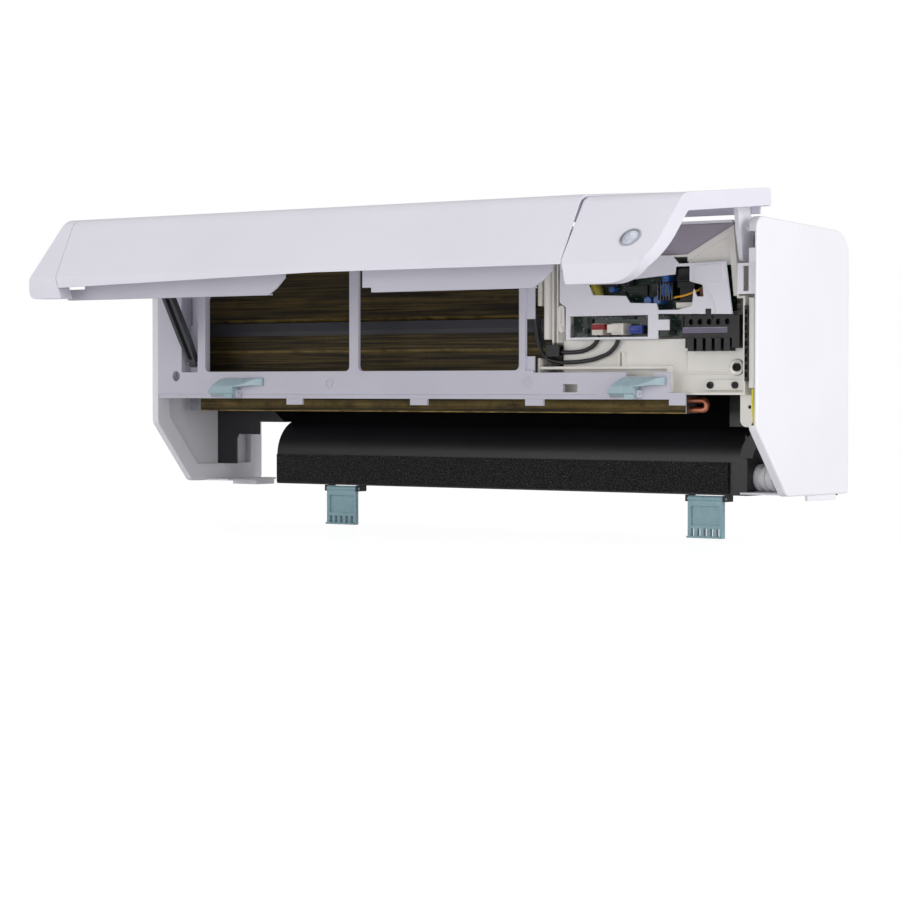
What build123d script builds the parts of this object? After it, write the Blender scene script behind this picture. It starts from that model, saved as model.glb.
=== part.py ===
from build123d import *
import os
from math import cos, hypot, radians, sin, tan

# Wall-hung indoor unit of a mini split air conditioner, opened for service.
# Millimetres, +X to the right along the width, -Y out of the wall, +Z up.
# The origin is the centre of the mounting plate's rear face, on the wall.
# Depths are Y values (0 at the wall, negative in front of it). Heights are
# measured up from the casing's lower edge and carried by the three planes below.

# ---------------------------------------------------------------- main sizes
BODY_W = 845.0          # outer width over the side panels
BODY_H = 287.0          # height of the side panels at the front
BODY_D = 185.0          # depth of the casing's front plane
HALF_W = BODY_W / 2
PLATE_CENTRE_H = 150.0  # mounting plate centre above the casing's lower edge
GAP = 0.4               # gap between pieces that move past each other
RUN_FIT = 0.05          # radial clearance of a pin that turns in its hole

# side panels
SIDE_WALL = 3.0
SIDE_RIM_DEPTH = 10.0   # how far the rim turns inwards
SIDE_RIM_WIDTH = 20.0
SIDE_TOP_REAR_H = 277.0
SIDE_EDGE_R = 2.0       # rounding of the outer edges
SIDE_CUT_H = 71.0       # where the slanted lower front edge starts
SIDE_CUT_BACK = 60.0    # how far the slant runs back
FLANGE_T = 2.0
LEFT_FLANGE_W = 45.0
FLANGE_DEPTH = 100.0
FOOT_DROP = 6.0
LEFT_FOOT_W = 42.0
RIGHT_FOOT_W = 6.0
RIGHT_FOOT = (-80.0, -22.0)     # front and rear end of the right foot
RIM_GAP = (SIDE_CUT_H + 3.0, 239.0)     # heights of the gap in the right panel's rim
RIM_NOTCH = (254.0, 271.0)
POCKET_LEFT = HALF_W - 25.0
POCKET_HEIGHTS = (207.5, 239.0)

# rear casing
PLATE_T = 1.2
BACK_GAP = 6.0          # wall to the casing's rear wall
CASE_WALL = 2.5
SCROLL_LEFT = -HALF_W + 111.5
SCROLL_RIGHT = HALF_W - 73.0
LEDGE_H = 71.0          # ledge of the scroll above the outlet
LIP_DEPTH = 86.0        # outlet lip in front of the wall
LIP_TOP_H = 34.0
LIP_LOW_H = -2.0
WING_DEPTH = 70.0       # dark end wing beside the scroll
FOAM_T = 3.0
FOAM_LEFT = SCROLL_LEFT + 2.0
FOAM_RIGHT = SCROLL_RIGHT - 22.5

# front frame
FRAME_T = 4.0
POST_DEPTH = 17.0       # the left post is deep, it holds the prop rod's groove
BAR_LOW_H = 100.0
BAR_TOP_H = 131.0
BAR_STEP = 2.5          # the bar is lower right of the openings
BEAM_LOW_H = 262.0
BEAM_TOP_H = 283.5
OPENING_LEFT = -HALF_W + 86.5
MULLION_LEFT = -115.0
MULLION_W = 13.0
OPENING_RIGHT = HALF_W - 299.5
POST_W = 19.0
BAR_RIGHT = HALF_W - 106.5
HINGE_WELL_W = 22.5     # clear width at each end for the hinge arms
HINGE_WELL_H = 232.0

# heat exchanger and fan
HX_LEFT = -HALF_W + 35.5
HX_RIGHT = HALF_W - 116.5
HX_T = 20.0
HX_FRONT = 138.0
HX_LOW_H = 85.0
HX_SPLIT_H = 176.0
STRIP_T = 3.0
FAN_DEPTH = 70.0
FAN_H = 150.0
FAN_R = 44.0
FAN_LEFT = SCROLL_LEFT + 8.0
FAN_RIGHT = SCROLL_RIGHT - 51.5
FAN_BLADES = 34
FAN_RINGS = 11
BLADE_T = 1.2
SHAFT_R = 4.0
BEARING_R = 12.0
MOTOR_R = 42.0
MOTOR_LEFT = FAN_RIGHT + 14.0
MOTOR_L = 60.0

# electrical box: its widths and depths are measured from a corner that lies this
# far inside the right face and this far behind the front plane of the casing
EBOX_REACH = 422.5
EBOX_SETBACK = 185.0
TRAY_LEFT = 142.0
TRAY_RIGHT = 403.0
TRAY_PEAK_X = 389.0
TRAY_SHOULDER_X = 395.5
TRAY_STEP_H = 206.0
TRAY_LOW_H = 105.0
TRAY_TOP_H = 250.0
TRAY_PEAK_H = 278.5
TRAY_SLOPE_X = 333.0
TRAY_BEAM_H = 7.5       # height of the beam along the slope
TRAY_RIM_W = 6.5        # width of the rim down from its peak
TRAY_FRONT = 176.5
TRAY_BACK = 140.5
TRAY_WALL = 2.5
SHELF_H = 163.0
SHELF_FRONT = 168.0
COVER_T = 2.0
COVER_FRONT = 181.0
PCB_FRONT = 160.0
PCB_T = 1.6
TERMINAL_PITCH = 11.0
TERMINALS = 5

# raised front panel, as outer line of its section: depth and height
PANEL_REAR = (-BODY_D + 25.0, 316.0)
PANEL_BEND = (-BODY_D - 141.0, 305.0)
PANEL_NOSE = (-BODY_D - 200.0, 236.0)
PANEL_LOW_H = 213.0
MAIN_LOW_H = 225.0      # the middle of the panel ends higher than its two ends
PANEL_WALL = 2.5
PANEL_SIDE_DEPTH = 18.0
BEND_R = 25.0
NOSE_R = 9.0
SEAM = 0.8
CAP_TOP_X = -HALF_W + 15.5
CAP_LOW_X = -HALF_W + 51.5
FASCIA_TOP_X = HALF_W - 116.5
FASCIA_LOW_X = HALF_W - 97.5
FASCIA_CORNER_R = 48.0
PANEL_LIP_H = 289.5     # lower edge of the flange along the panel's rear
PANEL_LIP_END_H = 297.0     # the same above the side panels, which the flange must clear
SKIRT_DEPTH = -PANEL_NOSE[0] - 35.0
SKIRT_LOW_H = 212.0
SKIRT_T = 2.0
HINGE = (-BODY_D + 19.0, 277.0)
PIN_R = 3.5
ARM_T = 5.0
ARM_X = HALF_W - 26.5
SENSOR_X = HALF_W - 34.5
SENSOR_H = 258.0
SENSOR_R = 12.0

# prop rod
ROD_X = -HALF_W + 61.5
ROD_PIVOT = (-BODY_D + 8.0, 141.6)
ROD_LENGTH = 112.0
ROD_LEAN = 29.6
ROD_W = 16.0
ROD_FOOT_W = 10.0
ROD_T = 7.0
ROD_PIN_R = 2.0
GROOVE_W = 26.0

# release levers on the bar and clips under the outlet lip
LEVERS = [(-HALF_W + 102.5, 76.0), (HALF_W - 176.0, 66.0)]     # left end and width
LEVER_PIVOT = (-BODY_D - 4.0, 106.0)
CLIP_W = 44.0
CLIP_LEFT = SCROLL_LEFT + 84.0
CLIP_RIGHT = SCROLL_RIGHT - 70.5
CLIP_PIVOT = (-LIP_DEPTH - 4.0, -6.0)
CLIP_LENGTH = 42.0
SMALL_PIN_R = 1.5
LUG_T = 2.5

# hose, pipes and leads
HOSE_BORE_R = 10.5
HOSE_R = 14.6
HOSE_RIB = 9.0
HOSE_DEPTH = 60.0
HOSE_H = 16.8
HOSE_LEFT = SCROLL_RIGHT - 13.5
EARTH_D = 4.0
LEAD_D = 4.6
YELLOW_D = 2.2

# ------------------------------------------------------------ derived places
INNER_X = HALF_W - SIDE_RIM_DEPTH       # inner faces of the side panels' rims
WALL_X = HALF_W - SIDE_WALL             # inner faces of their outer walls
BASE_Z = -PLATE_CENTRE_H
SIDE = Plane(origin=(0, 0, BASE_Z), x_dir=(0, 1, 0), z_dir=(1, 0, 0))
FRONT = Plane(origin=(0, 0, BASE_Z), x_dir=(1, 0, 0), z_dir=(0, -1, 0))
EBOX = Location((HALF_W - EBOX_REACH, EBOX_SETBACK - BODY_D, 0))

os.makedirs("parts", exist_ok=True)


def block(x0, x1, y0, y1, h0, h1, mode=Mode.ADD):
    """Rectangular block between two widths, two depths and two heights."""
    with Locations(((x0 + x1) / 2, (y0 + y1) / 2, BASE_Z + (h0 + h1) / 2)):
        Box(abs(x1 - x0), abs(y1 - y0), abs(h1 - h0), mode=mode)


def bar_x(x0, x1, y, h, radius, mode=Mode.ADD):
    """Round bar along the width, from x0 to x1."""
    with BuildSketch(SIDE.offset(x0)) as section:
        with Locations((y, h)):
            Circle(radius)
    extrude(section.sketch, amount=x1 - x0, mode=mode)


def bar_y(x, h, y0, y1, radius, mode=Mode.ADD):
    """Round bar along the depth, from y0 forward to y1."""
    with BuildSketch(FRONT.offset(-y0)) as section:
        with Locations((x, h)):
            Circle(radius)
    extrude(section.sketch, amount=y0 - y1, mode=mode)


def prism_x(x0, x1, points, mode=Mode.ADD):
    """Prism along the width whose section is a line of (depth, height) points."""
    with BuildSketch(SIDE.offset(x0)) as section:
        with BuildLine():
            Polyline(*points, close=True)
        make_face()
    extrude(section.sketch, amount=x1 - x0, mode=mode)


def plate_y(y0, y1, points, mode=Mode.ADD):
    """Plate facing the front, from y0 forward to y1, outlined by (x, height) points."""
    with BuildSketch(FRONT.offset(-y0)) as section:
        with BuildLine():
            Polyline(*points, close=True)
        make_face()
    extrude(section.sketch, amount=y0 - y1, mode=mode)


def finish(piece, name, place=Location()):
    """Label a finished piece and write it to its own file, moved to its place."""
    placed = piece.part.moved(place)
    placed.label = name
    export_step(placed, f"parts/{name}.step")


# --------------------------------------------------------------- side panels
SIDE_OUTLINE = [
    (-BODY_D, BODY_H),
    (0.0, SIDE_TOP_REAR_H),
    (0.0, 0.0),
    (-BODY_D + SIDE_CUT_BACK, 0.0),
    (-BODY_D, SIDE_CUT_H),
]
SIDE_RADII = [12.0, 28.0, 5.0, 10.0, 12.0]


def side_outline():
    """Face of the side panel, drawn in the sketch that is open."""
    with BuildLine() as outline:
        FilletPolyline(*SIDE_OUTLINE, radius=SIDE_RADII, close=True)
    make_face(outline.edges())


def side_panel(side, flange_w, foot_w, foot_front, foot_rear):
    """Side panel with its inward rim, hinge hole, bottom flange and foot.

    side is -1 for the left panel and +1 for the right one.
    """
    outer_x = side * HALF_W
    with BuildSketch(SIDE.offset(outer_x)) as outer:
        side_outline()
    extrude(outer.sketch, amount=-side * SIDE_RIM_DEPTH)
    fillet(edges().filter_by(lambda edge: abs(edge.center().X - outer_x) < RUN_FIT), SIDE_EDGE_R)
    with BuildSketch(SIDE.offset(side * WALL_X)) as inner:
        side_outline()
        offset(amount=-SIDE_RIM_WIDTH, kind=Kind.INTERSECTION)
    extrude(inner.sketch, amount=-side * SIDE_RIM_DEPTH, mode=Mode.SUBTRACT)
    bar_x(side * INNER_X, side * WALL_X, *HINGE, PIN_R + RUN_FIT, Mode.SUBTRACT)
    block(side * (HALF_W - flange_w), side * INNER_X, -FLANGE_DEPTH, -BACK_GAP - CASE_WALL - 4.0,
          0.0, FLANGE_T)
    block(side * (HALF_W - 3.0), side * (HALF_W - foot_w), foot_front, foot_rear, -FOOT_DROP,
          FLANGE_T)


with BuildPart() as left_side_panel:
    side_panel(-1, LEFT_FLANGE_W, LEFT_FOOT_W, -45.0, -BACK_GAP - CASE_WALL - 4.0)
finish(left_side_panel, "left_side_panel")

with BuildPart() as right_side_panel:
    side_panel(1, HALF_W - SCROLL_RIGHT, RIGHT_FOOT_W, *RIGHT_FOOT)
    # the rim is left out beside the electrical box's flange, and notched below the pin
    block(INNER_X, WALL_X, -BODY_D, -BODY_D + SIDE_RIM_WIDTH, *RIM_GAP, Mode.SUBTRACT)
    block(INNER_X, WALL_X, -BODY_D, -BODY_D + 12.0, *RIM_NOTCH, Mode.SUBTRACT)
    # slotted plate beside the box's shoulder
    block(POCKET_LEFT, WALL_X, -BODY_D + 2.0, -BODY_D + 4.0, *POCKET_HEIGHTS)
    block(POCKET_LEFT + 6.5, POCKET_LEFT + 13.5, -BODY_D + 2.0, -BODY_D + 4.0,
          POCKET_HEIGHTS[0] + 3.0, POCKET_HEIGHTS[1] - 3.0, Mode.SUBTRACT)
finish(right_side_panel, "right_side_panel")

# ------------------------------------------------- mounting plate, rear casing
PLATE_HALF_W = 300.0
PLATE_HALF_H = 80.0
SCREW_X = 225.0
SCREW_Z = 55.0
SCREW_R = 3.0

with BuildPart() as mounting_plate:
    with BuildSketch(Plane.XZ) as plate_face:
        RectangleRounded(2 * PLATE_HALF_W, 2 * PLATE_HALF_H, 8.0)
        with GridLocations(2 * SCREW_X, 2 * SCREW_Z, 2, 2):
            Circle(SCREW_R, mode=Mode.SUBTRACT)
        with GridLocations(150.0, 0.0, 2, 1):
            SlotCenterToCenter(60.0, 14.0, mode=Mode.SUBTRACT)
    extrude(amount=PLATE_T)
    with BuildSketch(Plane.XZ.offset(PLATE_T)) as embossed:
        with GridLocations(2 * (PLATE_HALF_W - 30.0), 2 * (PLATE_HALF_H - 30.0), 2, 2):
            RectangleRounded(40.0, 30.0, 5.0)
        with GridLocations(PLATE_HALF_W, 2 * (PLATE_HALF_H - 15.0), 2, 2):
            RectangleRounded(60.0, 16.0, 5.0)
    extrude(amount=BACK_GAP - PLATE_T)
finish(mounting_plate, "mounting_plate")

BACK_FACE = -BACK_GAP - CASE_WALL       # front side of the rear wall
SCROLL_TOP = (-22.0, 184.0)
SCROLL_MID = (-17.0, 140.0)
SCROLL_LEDGE = (-60.0, LEDGE_H)
SCROLL_TURN = (-78.0, 56.0)
LIP_TOP = (-LIP_DEPTH + 0.5, LIP_TOP_H)
LIP_LOW = (-LIP_DEPTH, LIP_LOW_H)


def scroll_line():
    """Air-side line of the scroll from behind the fan down to the outlet lip."""
    ThreePointArc(SCROLL_TOP, SCROLL_MID, SCROLL_LEDGE)
    ThreePointArc(SCROLL_LEDGE, SCROLL_TURN, LIP_TOP)
    Line(LIP_TOP, LIP_LOW)


def scroll_rib(x0, x1, mode=Mode.ADD):
    """Web that joins the scroll to the rear wall."""
    with BuildSketch(SIDE.offset(x0)) as web:
        with BuildLine():
            scroll_line()
            Polyline(LIP_LOW, (BACK_FACE, LIP_LOW_H), (BACK_FACE, SCROLL_TOP[1]), SCROLL_TOP)
        make_face()
    extrude(web.sketch, amount=x1 - x0, mode=mode)


RIB_COUNT = 6
END_WALL_TOP_H = 188.0
END_WALL_DEPTH = 112.0
WING_X = -HALF_W + 33.5
WING_STEP_H = 56.0
WING_TOP_H = 96.0
SPOUT_L = 16.0
SPOUT_FIT = 0.1

with BuildPart() as rear_casing:
    # scroll: the web's full section, hollowed behind the air-side wall
    scroll_rib(SCROLL_LEFT, SCROLL_RIGHT)
    rib_pitch = (SCROLL_RIGHT - SCROLL_LEFT - CASE_WALL) / (RIB_COUNT - 1)
    for bay in range(RIB_COUNT - 1):
        bay_left = SCROLL_LEFT + CASE_WALL + bay * rib_pitch
        with BuildSketch(SIDE.offset(bay_left)) as pocket:
            with BuildLine():
                ThreePointArc((SCROLL_TOP[0] + CASE_WALL, SCROLL_TOP[1] - CASE_WALL),
                              (SCROLL_MID[0] + CASE_WALL, SCROLL_MID[1]),
                              (SCROLL_LEDGE[0] + CASE_WALL, LEDGE_H - CASE_WALL))
                ThreePointArc((SCROLL_LEDGE[0] + CASE_WALL, LEDGE_H - CASE_WALL),
                              (SCROLL_TURN[0] + CASE_WALL, SCROLL_TURN[1] - CASE_WALL),
                              (LIP_TOP[0] + CASE_WALL, LIP_TOP_H - CASE_WALL))
                Polyline((LIP_TOP[0] + CASE_WALL, LIP_TOP_H - CASE_WALL),
                         (LIP_LOW[0] + CASE_WALL, LIP_LOW_H + CASE_WALL),
                         (BACK_FACE, LIP_LOW_H + CASE_WALL),
                         (BACK_FACE, SCROLL_TOP[1] - CASE_WALL),
                         (SCROLL_TOP[0] + CASE_WALL, SCROLL_TOP[1] - CASE_WALL))
            make_face()
        extrude(amount=rib_pitch - CASE_WALL, mode=Mode.SUBTRACT)
    # drain spout in the last bay, and the hose's way out through the end rib
    block(HOSE_LEFT - CASE_WALL, HOSE_LEFT, -LIP_DEPTH + CASE_WALL, BACK_FACE, LIP_LOW_H,
          HOSE_H + HOSE_R + 4.0)
    bar_x(HOSE_LEFT, HOSE_LEFT + SPOUT_L, -HOSE_DEPTH, HOSE_H, HOSE_BORE_R - SPOUT_FIT)
    bar_x(HOSE_LEFT - CASE_WALL, HOSE_LEFT + SPOUT_L, -HOSE_DEPTH, HOSE_H, HOSE_BORE_R - 2.0,
          Mode.SUBTRACT)
    bar_x(SCROLL_RIGHT - CASE_WALL, SCROLL_RIGHT, -HOSE_DEPTH, HOSE_H, HOSE_R + GAP,
          Mode.SUBTRACT)
    # rear wall, open at the lower left and round the pipes at the lower right
    block(-INNER_X, INNER_X, BACK_FACE, -BACK_GAP, LEDGE_H, 258.0)
    block(SCROLL_LEFT, INNER_X, BACK_FACE, -BACK_GAP, LIP_LOW_H, LEDGE_H)
    block(HALF_W - 54.5, HALF_W - 18.5, BACK_FACE, -BACK_GAP, 36.0, 66.0, Mode.SUBTRACT)
    # left end wall with the bearing's seat, and the dark wing beside it
    prism_x(SCROLL_LEFT - CASE_WALL, SCROLL_LEFT,
            [(BACK_FACE, END_WALL_TOP_H), (-END_WALL_DEPTH, END_WALL_TOP_H),
             (-END_WALL_DEPTH, BAR_LOW_H), (-WING_DEPTH - CASE_WALL, LEDGE_H), (BACK_FACE, LEDGE_H)])
    bar_x(SCROLL_LEFT - CASE_WALL, SCROLL_LEFT, -FAN_DEPTH, FAN_H, BEARING_R, Mode.SUBTRACT)
    plate_y(-WING_DEPTH, -WING_DEPTH - CASE_WALL,
            [(-WALL_X, SIDE_RIM_WIDTH), (WING_X, SIDE_RIM_WIDTH), (WING_X, WING_STEP_H - 6.0),
             (WING_X + 3.0, WING_STEP_H), (WING_X + 37.0, WING_STEP_H), (WING_X + 37.0, LEDGE_H),
             (SCROLL_LEFT, LEDGE_H), (SCROLL_LEFT, WING_TOP_H), (-WALL_X, WING_TOP_H)])
    # lugs for the hanging clips
    for clip_x in (CLIP_LEFT, CLIP_RIGHT):
        for lug_x in (clip_x - LUG_T - GAP, clip_x + CLIP_W + GAP):
            block(lug_x, lug_x + LUG_T, CLIP_PIVOT[0] - 3.0, -LIP_DEPTH, -9.0, LIP_LOW_H)
            block(lug_x, lug_x + LUG_T, -LIP_DEPTH, -LIP_DEPTH + 10.0, -9.0, LIP_LOW_H)
            bar_x(lug_x, lug_x + LUG_T, *CLIP_PIVOT, SMALL_PIN_R + RUN_FIT, Mode.SUBTRACT)
finish(rear_casing, "rear_casing")

with BuildPart() as foam_strip:
    block(FOAM_LEFT, FOAM_RIGHT, -LIP_DEPTH - FOAM_T, -LIP_DEPTH, LIP_LOW_H + 2.0, LIP_TOP_H - 1.0)
finish(foam_strip, "foam_strip")

# ------------------------------------------------------ top grille and frame
GRILLE_FRONT = BODY_D - FRAME_T         # the grille meets the frame's top beam
GRILLE_T = 2.5
GRILLE_REAR = [(-40.0, 276.5), (-20.0, 272.0), (-BACK_GAP, 258.0)]
SLOT_PITCH = 16.0
WELL_X = INNER_X - HINGE_WELL_W
WELL_BACK = BODY_D - 67.0
SLOTS = int(2 * (WELL_X - 15.0) // SLOT_PITCH)

with BuildPart() as top_grille:
    prism_x(-INNER_X, INNER_X,
            [(-GRILLE_FRONT, BEAM_TOP_H), *GRILLE_REAR,
             (GRILLE_REAR[2][0] - GRILLE_T, GRILLE_REAR[2][1]),
             (GRILLE_REAR[1][0] - GRILLE_T, GRILLE_REAR[1][1] - GRILLE_T),
             (GRILLE_REAR[0][0], GRILLE_REAR[0][1] - GRILLE_T),
             (-GRILLE_FRONT, BEAM_TOP_H - GRILLE_T)])
    with BuildSketch(Plane.XY.offset(BASE_Z + 240.0)) as slots:
        for row_depth in (-132.0, -72.0):
            with Locations((0.0, row_depth)):
                with GridLocations(SLOT_PITCH, 1.0, SLOTS, 1):
                    SlotOverall(48.0, 8.0, rotation=90)
    extrude(amount=60.0, mode=Mode.SUBTRACT)
    for side in (-1, 1):
        block(side * WELL_X, side * INNER_X, -GRILLE_FRONT, -WELL_BACK, 250.0, 290.0,
              Mode.SUBTRACT)
finish(top_grille, "top_grille")

GROOVE_BACK = BODY_D - POST_DEPTH + 2.0
GROOVE_LEFT = ROD_X - GROOVE_W / 2
GROOVE_RIGHT = ROD_X + GROOVE_W / 2
GROOVE_LOW_H = ROD_PIVOT[1] - 11.0
GROOVE_WALL = 4.0
CHEEK_T = 2.0           # cheeks of the rod's catch on the panel
CHEEK_X = ROD_W / 2 + 1.5
CHEEK_FIT = 0.6
CHEEK_SLOT = (186.0, 226.0)     # heights of the slots that take the cheeks
MULLION_RIGHT = MULLION_LEFT + MULLION_W
POST_STEP_X = OPENING_RIGHT + 8.0
FRAME_BACK = -BODY_D + FRAME_T
SCREW_HOLE_R = 6.0
FRAME_SCREW = (-HALF_W + 39.5, 126.0)
FRAME_SCREW_HEAD_R = 4.0
FRAME_SCREW_SEAT = -BODY_D + 8.0
SCREW_LENGTH = 8.0
BOSSES = [(MULLION_LEFT - 30.0, 117.5), (OPENING_RIGHT + 11.5, 117.5)]
BAR_TABS = [MULLION_LEFT - 83.0, MULLION_LEFT + 99.0, OPENING_RIGHT + 19.5]
TAB_W = 24.0
TAB_DROP = 7.0
BAR_FOOT_H = 5.0        # height of the set-back foot along the bar's lower edge
HOOK_W = 20.0           # hook at the bar's right end
BAR_NOTCH = (BAR_RIGHT - 55.0, BAR_RIGHT - 19.0, 124.3, BAR_TOP_H)
BAR_WINDOW = (BAR_RIGHT - 135.0, BAR_RIGHT - 116.0, 107.5, 116.0)
LUG_REACH = 7.0
LUG_HEIGHTS = (102.0, 110.0)
LEVER_HINGE_SHARE = 0.5     # share of a lever's width that is hinged


def frame_opening(x0, x1):
    """Rounded filter opening through the frame, from the bar up to the beam."""
    with BuildSketch(FRONT.offset(BODY_D - FRAME_T)) as opening:
        with Locations(((x0 + x1) / 2, (BAR_TOP_H + BEAM_LOW_H) / 2)):
            RectangleRounded(x1 - x0, BEAM_LOW_H - BAR_TOP_H, 6.0)
    extrude(opening.sketch, amount=FRAME_T, mode=Mode.SUBTRACT)


with BuildPart() as front_frame:
    block(-INNER_X, OPENING_RIGHT + POST_W, -BODY_D, FRAME_BACK, BAR_LOW_H, BEAM_TOP_H)
    block(OPENING_RIGHT, BAR_RIGHT, -BODY_D, FRAME_BACK, BAR_LOW_H, BAR_TOP_H - BAR_STEP)
    block(BAR_RIGHT, BAR_RIGHT + HOOK_W, -BODY_D, -BODY_D + 2.0, BAR_LOW_H - 6.0,
          BAR_LOW_H + 7.0)
    # deep left post, with the groove that takes the folded prop rod
    block(-INNER_X, GROOVE_RIGHT + GROOVE_WALL, FRAME_BACK, -BODY_D + POST_DEPTH, BAR_LOW_H,
          BEAM_LOW_H)
    block(GROOVE_LEFT, GROOVE_RIGHT, -BODY_D, -GROOVE_BACK, GROOVE_LOW_H, BEAM_LOW_H - 4.0,
          Mode.SUBTRACT)
    bar_x(GROOVE_LEFT - GROOVE_WALL, GROOVE_RIGHT + GROOVE_WALL, *ROD_PIVOT, ROD_PIN_R,
          Mode.SUBTRACT)
    # slots in the groove's back that the catch's cheeks pass through when the panel is shut
    for side in (-1, 1):
        slot_x = ROD_X + side * CHEEK_X
        block(slot_x - side * CHEEK_FIT, slot_x + side * (CHEEK_T + CHEEK_FIT), -GROOVE_BACK,
              -BODY_D + POST_DEPTH, *CHEEK_SLOT, Mode.SUBTRACT)
    block(-INNER_X, -WELL_X, -BODY_D, -BODY_D + POST_DEPTH, HINGE_WELL_H, BEAM_TOP_H,
          Mode.SUBTRACT)
    # openings for the two filters
    frame_opening(OPENING_LEFT, MULLION_LEFT)
    frame_opening(MULLION_RIGHT, OPENING_RIGHT)
    # stepped right edge of the post and the long groove under the bar
    block(POST_STEP_X, OPENING_RIGHT + POST_W, -BODY_D, FRAME_BACK - 1.5, BAR_TOP_H, BEAM_LOW_H,
          Mode.SUBTRACT)
    block(POST_STEP_X, OPENING_RIGHT + POST_W, -BODY_D, FRAME_BACK, 146.0, 186.0, Mode.SUBTRACT)
    block(-INNER_X, BAR_RIGHT - 90.0, -BODY_D, -BODY_D + 1.5, BAR_LOW_H, BAR_LOW_H + BAR_FOOT_H,
          Mode.SUBTRACT)
    for x0, x1, h0, h1 in (BAR_NOTCH, BAR_WINDOW):
        block(x0, x1, -BODY_D, FRAME_BACK, h0, h1, Mode.SUBTRACT)
    for tab_x in BAR_TABS:
        block(tab_x - TAB_W / 2, tab_x + TAB_W / 2, FRAME_BACK - 3.0, FRAME_BACK,
              BAR_LOW_H - TAB_DROP, BAR_LOW_H)
    for boss_x, boss_h in BOSSES:
        bar_y(boss_x, boss_h, -BODY_D, -BODY_D - 0.8, 6.0)
        bar_y(boss_x, boss_h, -BODY_D, -BODY_D - 0.8, 4.0, Mode.SUBTRACT)
    bar_y(*FRAME_SCREW, FRAME_SCREW_SEAT, -BODY_D, SCREW_HOLE_R, Mode.SUBTRACT)
    bar_y(*FRAME_SCREW, FRAME_SCREW_SEAT + SCREW_LENGTH, FRAME_SCREW_SEAT,
          FRAME_SCREW_HEAD_R / 2, Mode.SUBTRACT)
    # lugs that carry the two release levers
    for lever_x, lever_w in LEVERS:
        for lug_x in (lever_x - LUG_T - GAP, lever_x + lever_w * LEVER_HINGE_SHARE + GAP):
            block(lug_x, lug_x + LUG_T, -BODY_D - LUG_REACH, -BODY_D, *LUG_HEIGHTS)
            bar_x(lug_x, lug_x + LUG_T, *LEVER_PIVOT, SMALL_PIN_R + RUN_FIT, Mode.SUBTRACT)
finish(front_frame, "front_frame")


def pan_screw(x, h, seat_y, head_r):
    """Cross-head screw facing the front, its head seated at seat_y."""
    bar_y(x, h, seat_y, seat_y - 2.4, head_r)
    bar_y(x, h, seat_y + SCREW_LENGTH, seat_y, head_r / 2)
    for slot_w, slot_h in ((head_r * 1.1, 0.8), (0.8, head_r * 1.1)):
        block(x - slot_w / 2, x + slot_w / 2, seat_y - 2.4, seat_y - 1.2,
              h - slot_h / 2, h + slot_h / 2, Mode.SUBTRACT)


with BuildPart() as frame_screws:
    pan_screw(*FRAME_SCREW, FRAME_SCREW_SEAT, FRAME_SCREW_HEAD_R)
finish(frame_screws, "frame_screws")

with BuildPart() as rod_pin:
    bar_x(GROOVE_LEFT - GROOVE_WALL, GROOVE_RIGHT + GROOVE_WALL, *ROD_PIVOT, ROD_PIN_R)
finish(rod_pin, "rod_pin")

# -------------------------------------------------------------- heat exchanger
HX_MID = -HX_FRONT + HX_T / 2           # middle plane of the upright front section
FRONT_SLAB = ((-127.0, 187.0), (-86.6, 258.4))      # foot and top of its middle line
REAR_SLAB = ((-26.0, 198.0), (-70.7, 266.8))
FIN_GROOVE = 1.0
BEND_TUBE_R = 3.3
BEND_R_MID = 5.0
BEND_LEG = 14.0


def along_slab(slab, distance):
    """Point on a leaning slab's middle line, at a distance from its foot."""
    (foot_y, foot_h), (top_y, top_h) = slab
    share = distance / hypot(top_y - foot_y, top_h - foot_h)
    return (foot_y + share * (top_y - foot_y), foot_h + share * (top_h - foot_h))


def slab_points(slab):
    """Section of a leaning slab as four corners, the first two at its foot."""
    foot, top = slab
    step_y, step_h = along_slab(slab, HX_T / 2)
    across = (step_h - foot[1], foot[0] - step_y)
    return [(foot[0] + across[0], foot[1] + across[1]), (foot[0] - across[0], foot[1] - across[1]),
            (top[0] - across[0], top[1] - across[1]), (top[0] + across[0], top[1] + across[1])]


def midpoint(first, second):
    """Point halfway between two section points."""
    return ((first[0] + second[0]) / 2, (first[1] + second[1]) / 2)


with BuildPart() as hx_front_lower:
    block(HX_LEFT, HX_RIGHT, -HX_FRONT, -HX_FRONT + HX_T, HX_LOW_H, HX_SPLIT_H - STRIP_T)
    for groove_h in (154.0, 128.0, 104.0):
        block(HX_LEFT, HX_RIGHT, -HX_FRONT, -HX_FRONT + FIN_GROOVE, groove_h - 0.6,
              groove_h + 0.6, Mode.SUBTRACT)
finish(hx_front_lower, "hx_front_lower")

with BuildPart() as hx_front_upper:
    prism_x(HX_LEFT, HX_RIGHT, slab_points(FRONT_SLAB))
finish(hx_front_upper, "hx_front_upper")

with BuildPart() as hx_rear:
    prism_x(HX_LEFT, HX_RIGHT, slab_points(REAR_SLAB))
finish(hx_rear, "hx_rear")

with BuildPart() as hx_joint_strip:
    prism_x(HX_LEFT, HX_RIGHT,
            [(-HX_FRONT, HX_SPLIT_H - STRIP_T), (-HX_FRONT - 1.2, HX_SPLIT_H + 2.0),
             (-HX_FRONT + 1.6, HX_SPLIT_H + 12.0), (-HX_FRONT + 4.0, HX_SPLIT_H + 11.0),
             (-HX_FRONT + 6.0, HX_SPLIT_H - STRIP_T)])
finish(hx_joint_strip, "hx_joint_strip")

front_slab = slab_points(FRONT_SLAB)
rear_slab = slab_points(REAR_SLAB)
END_PLATE_T = 1.0

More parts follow.
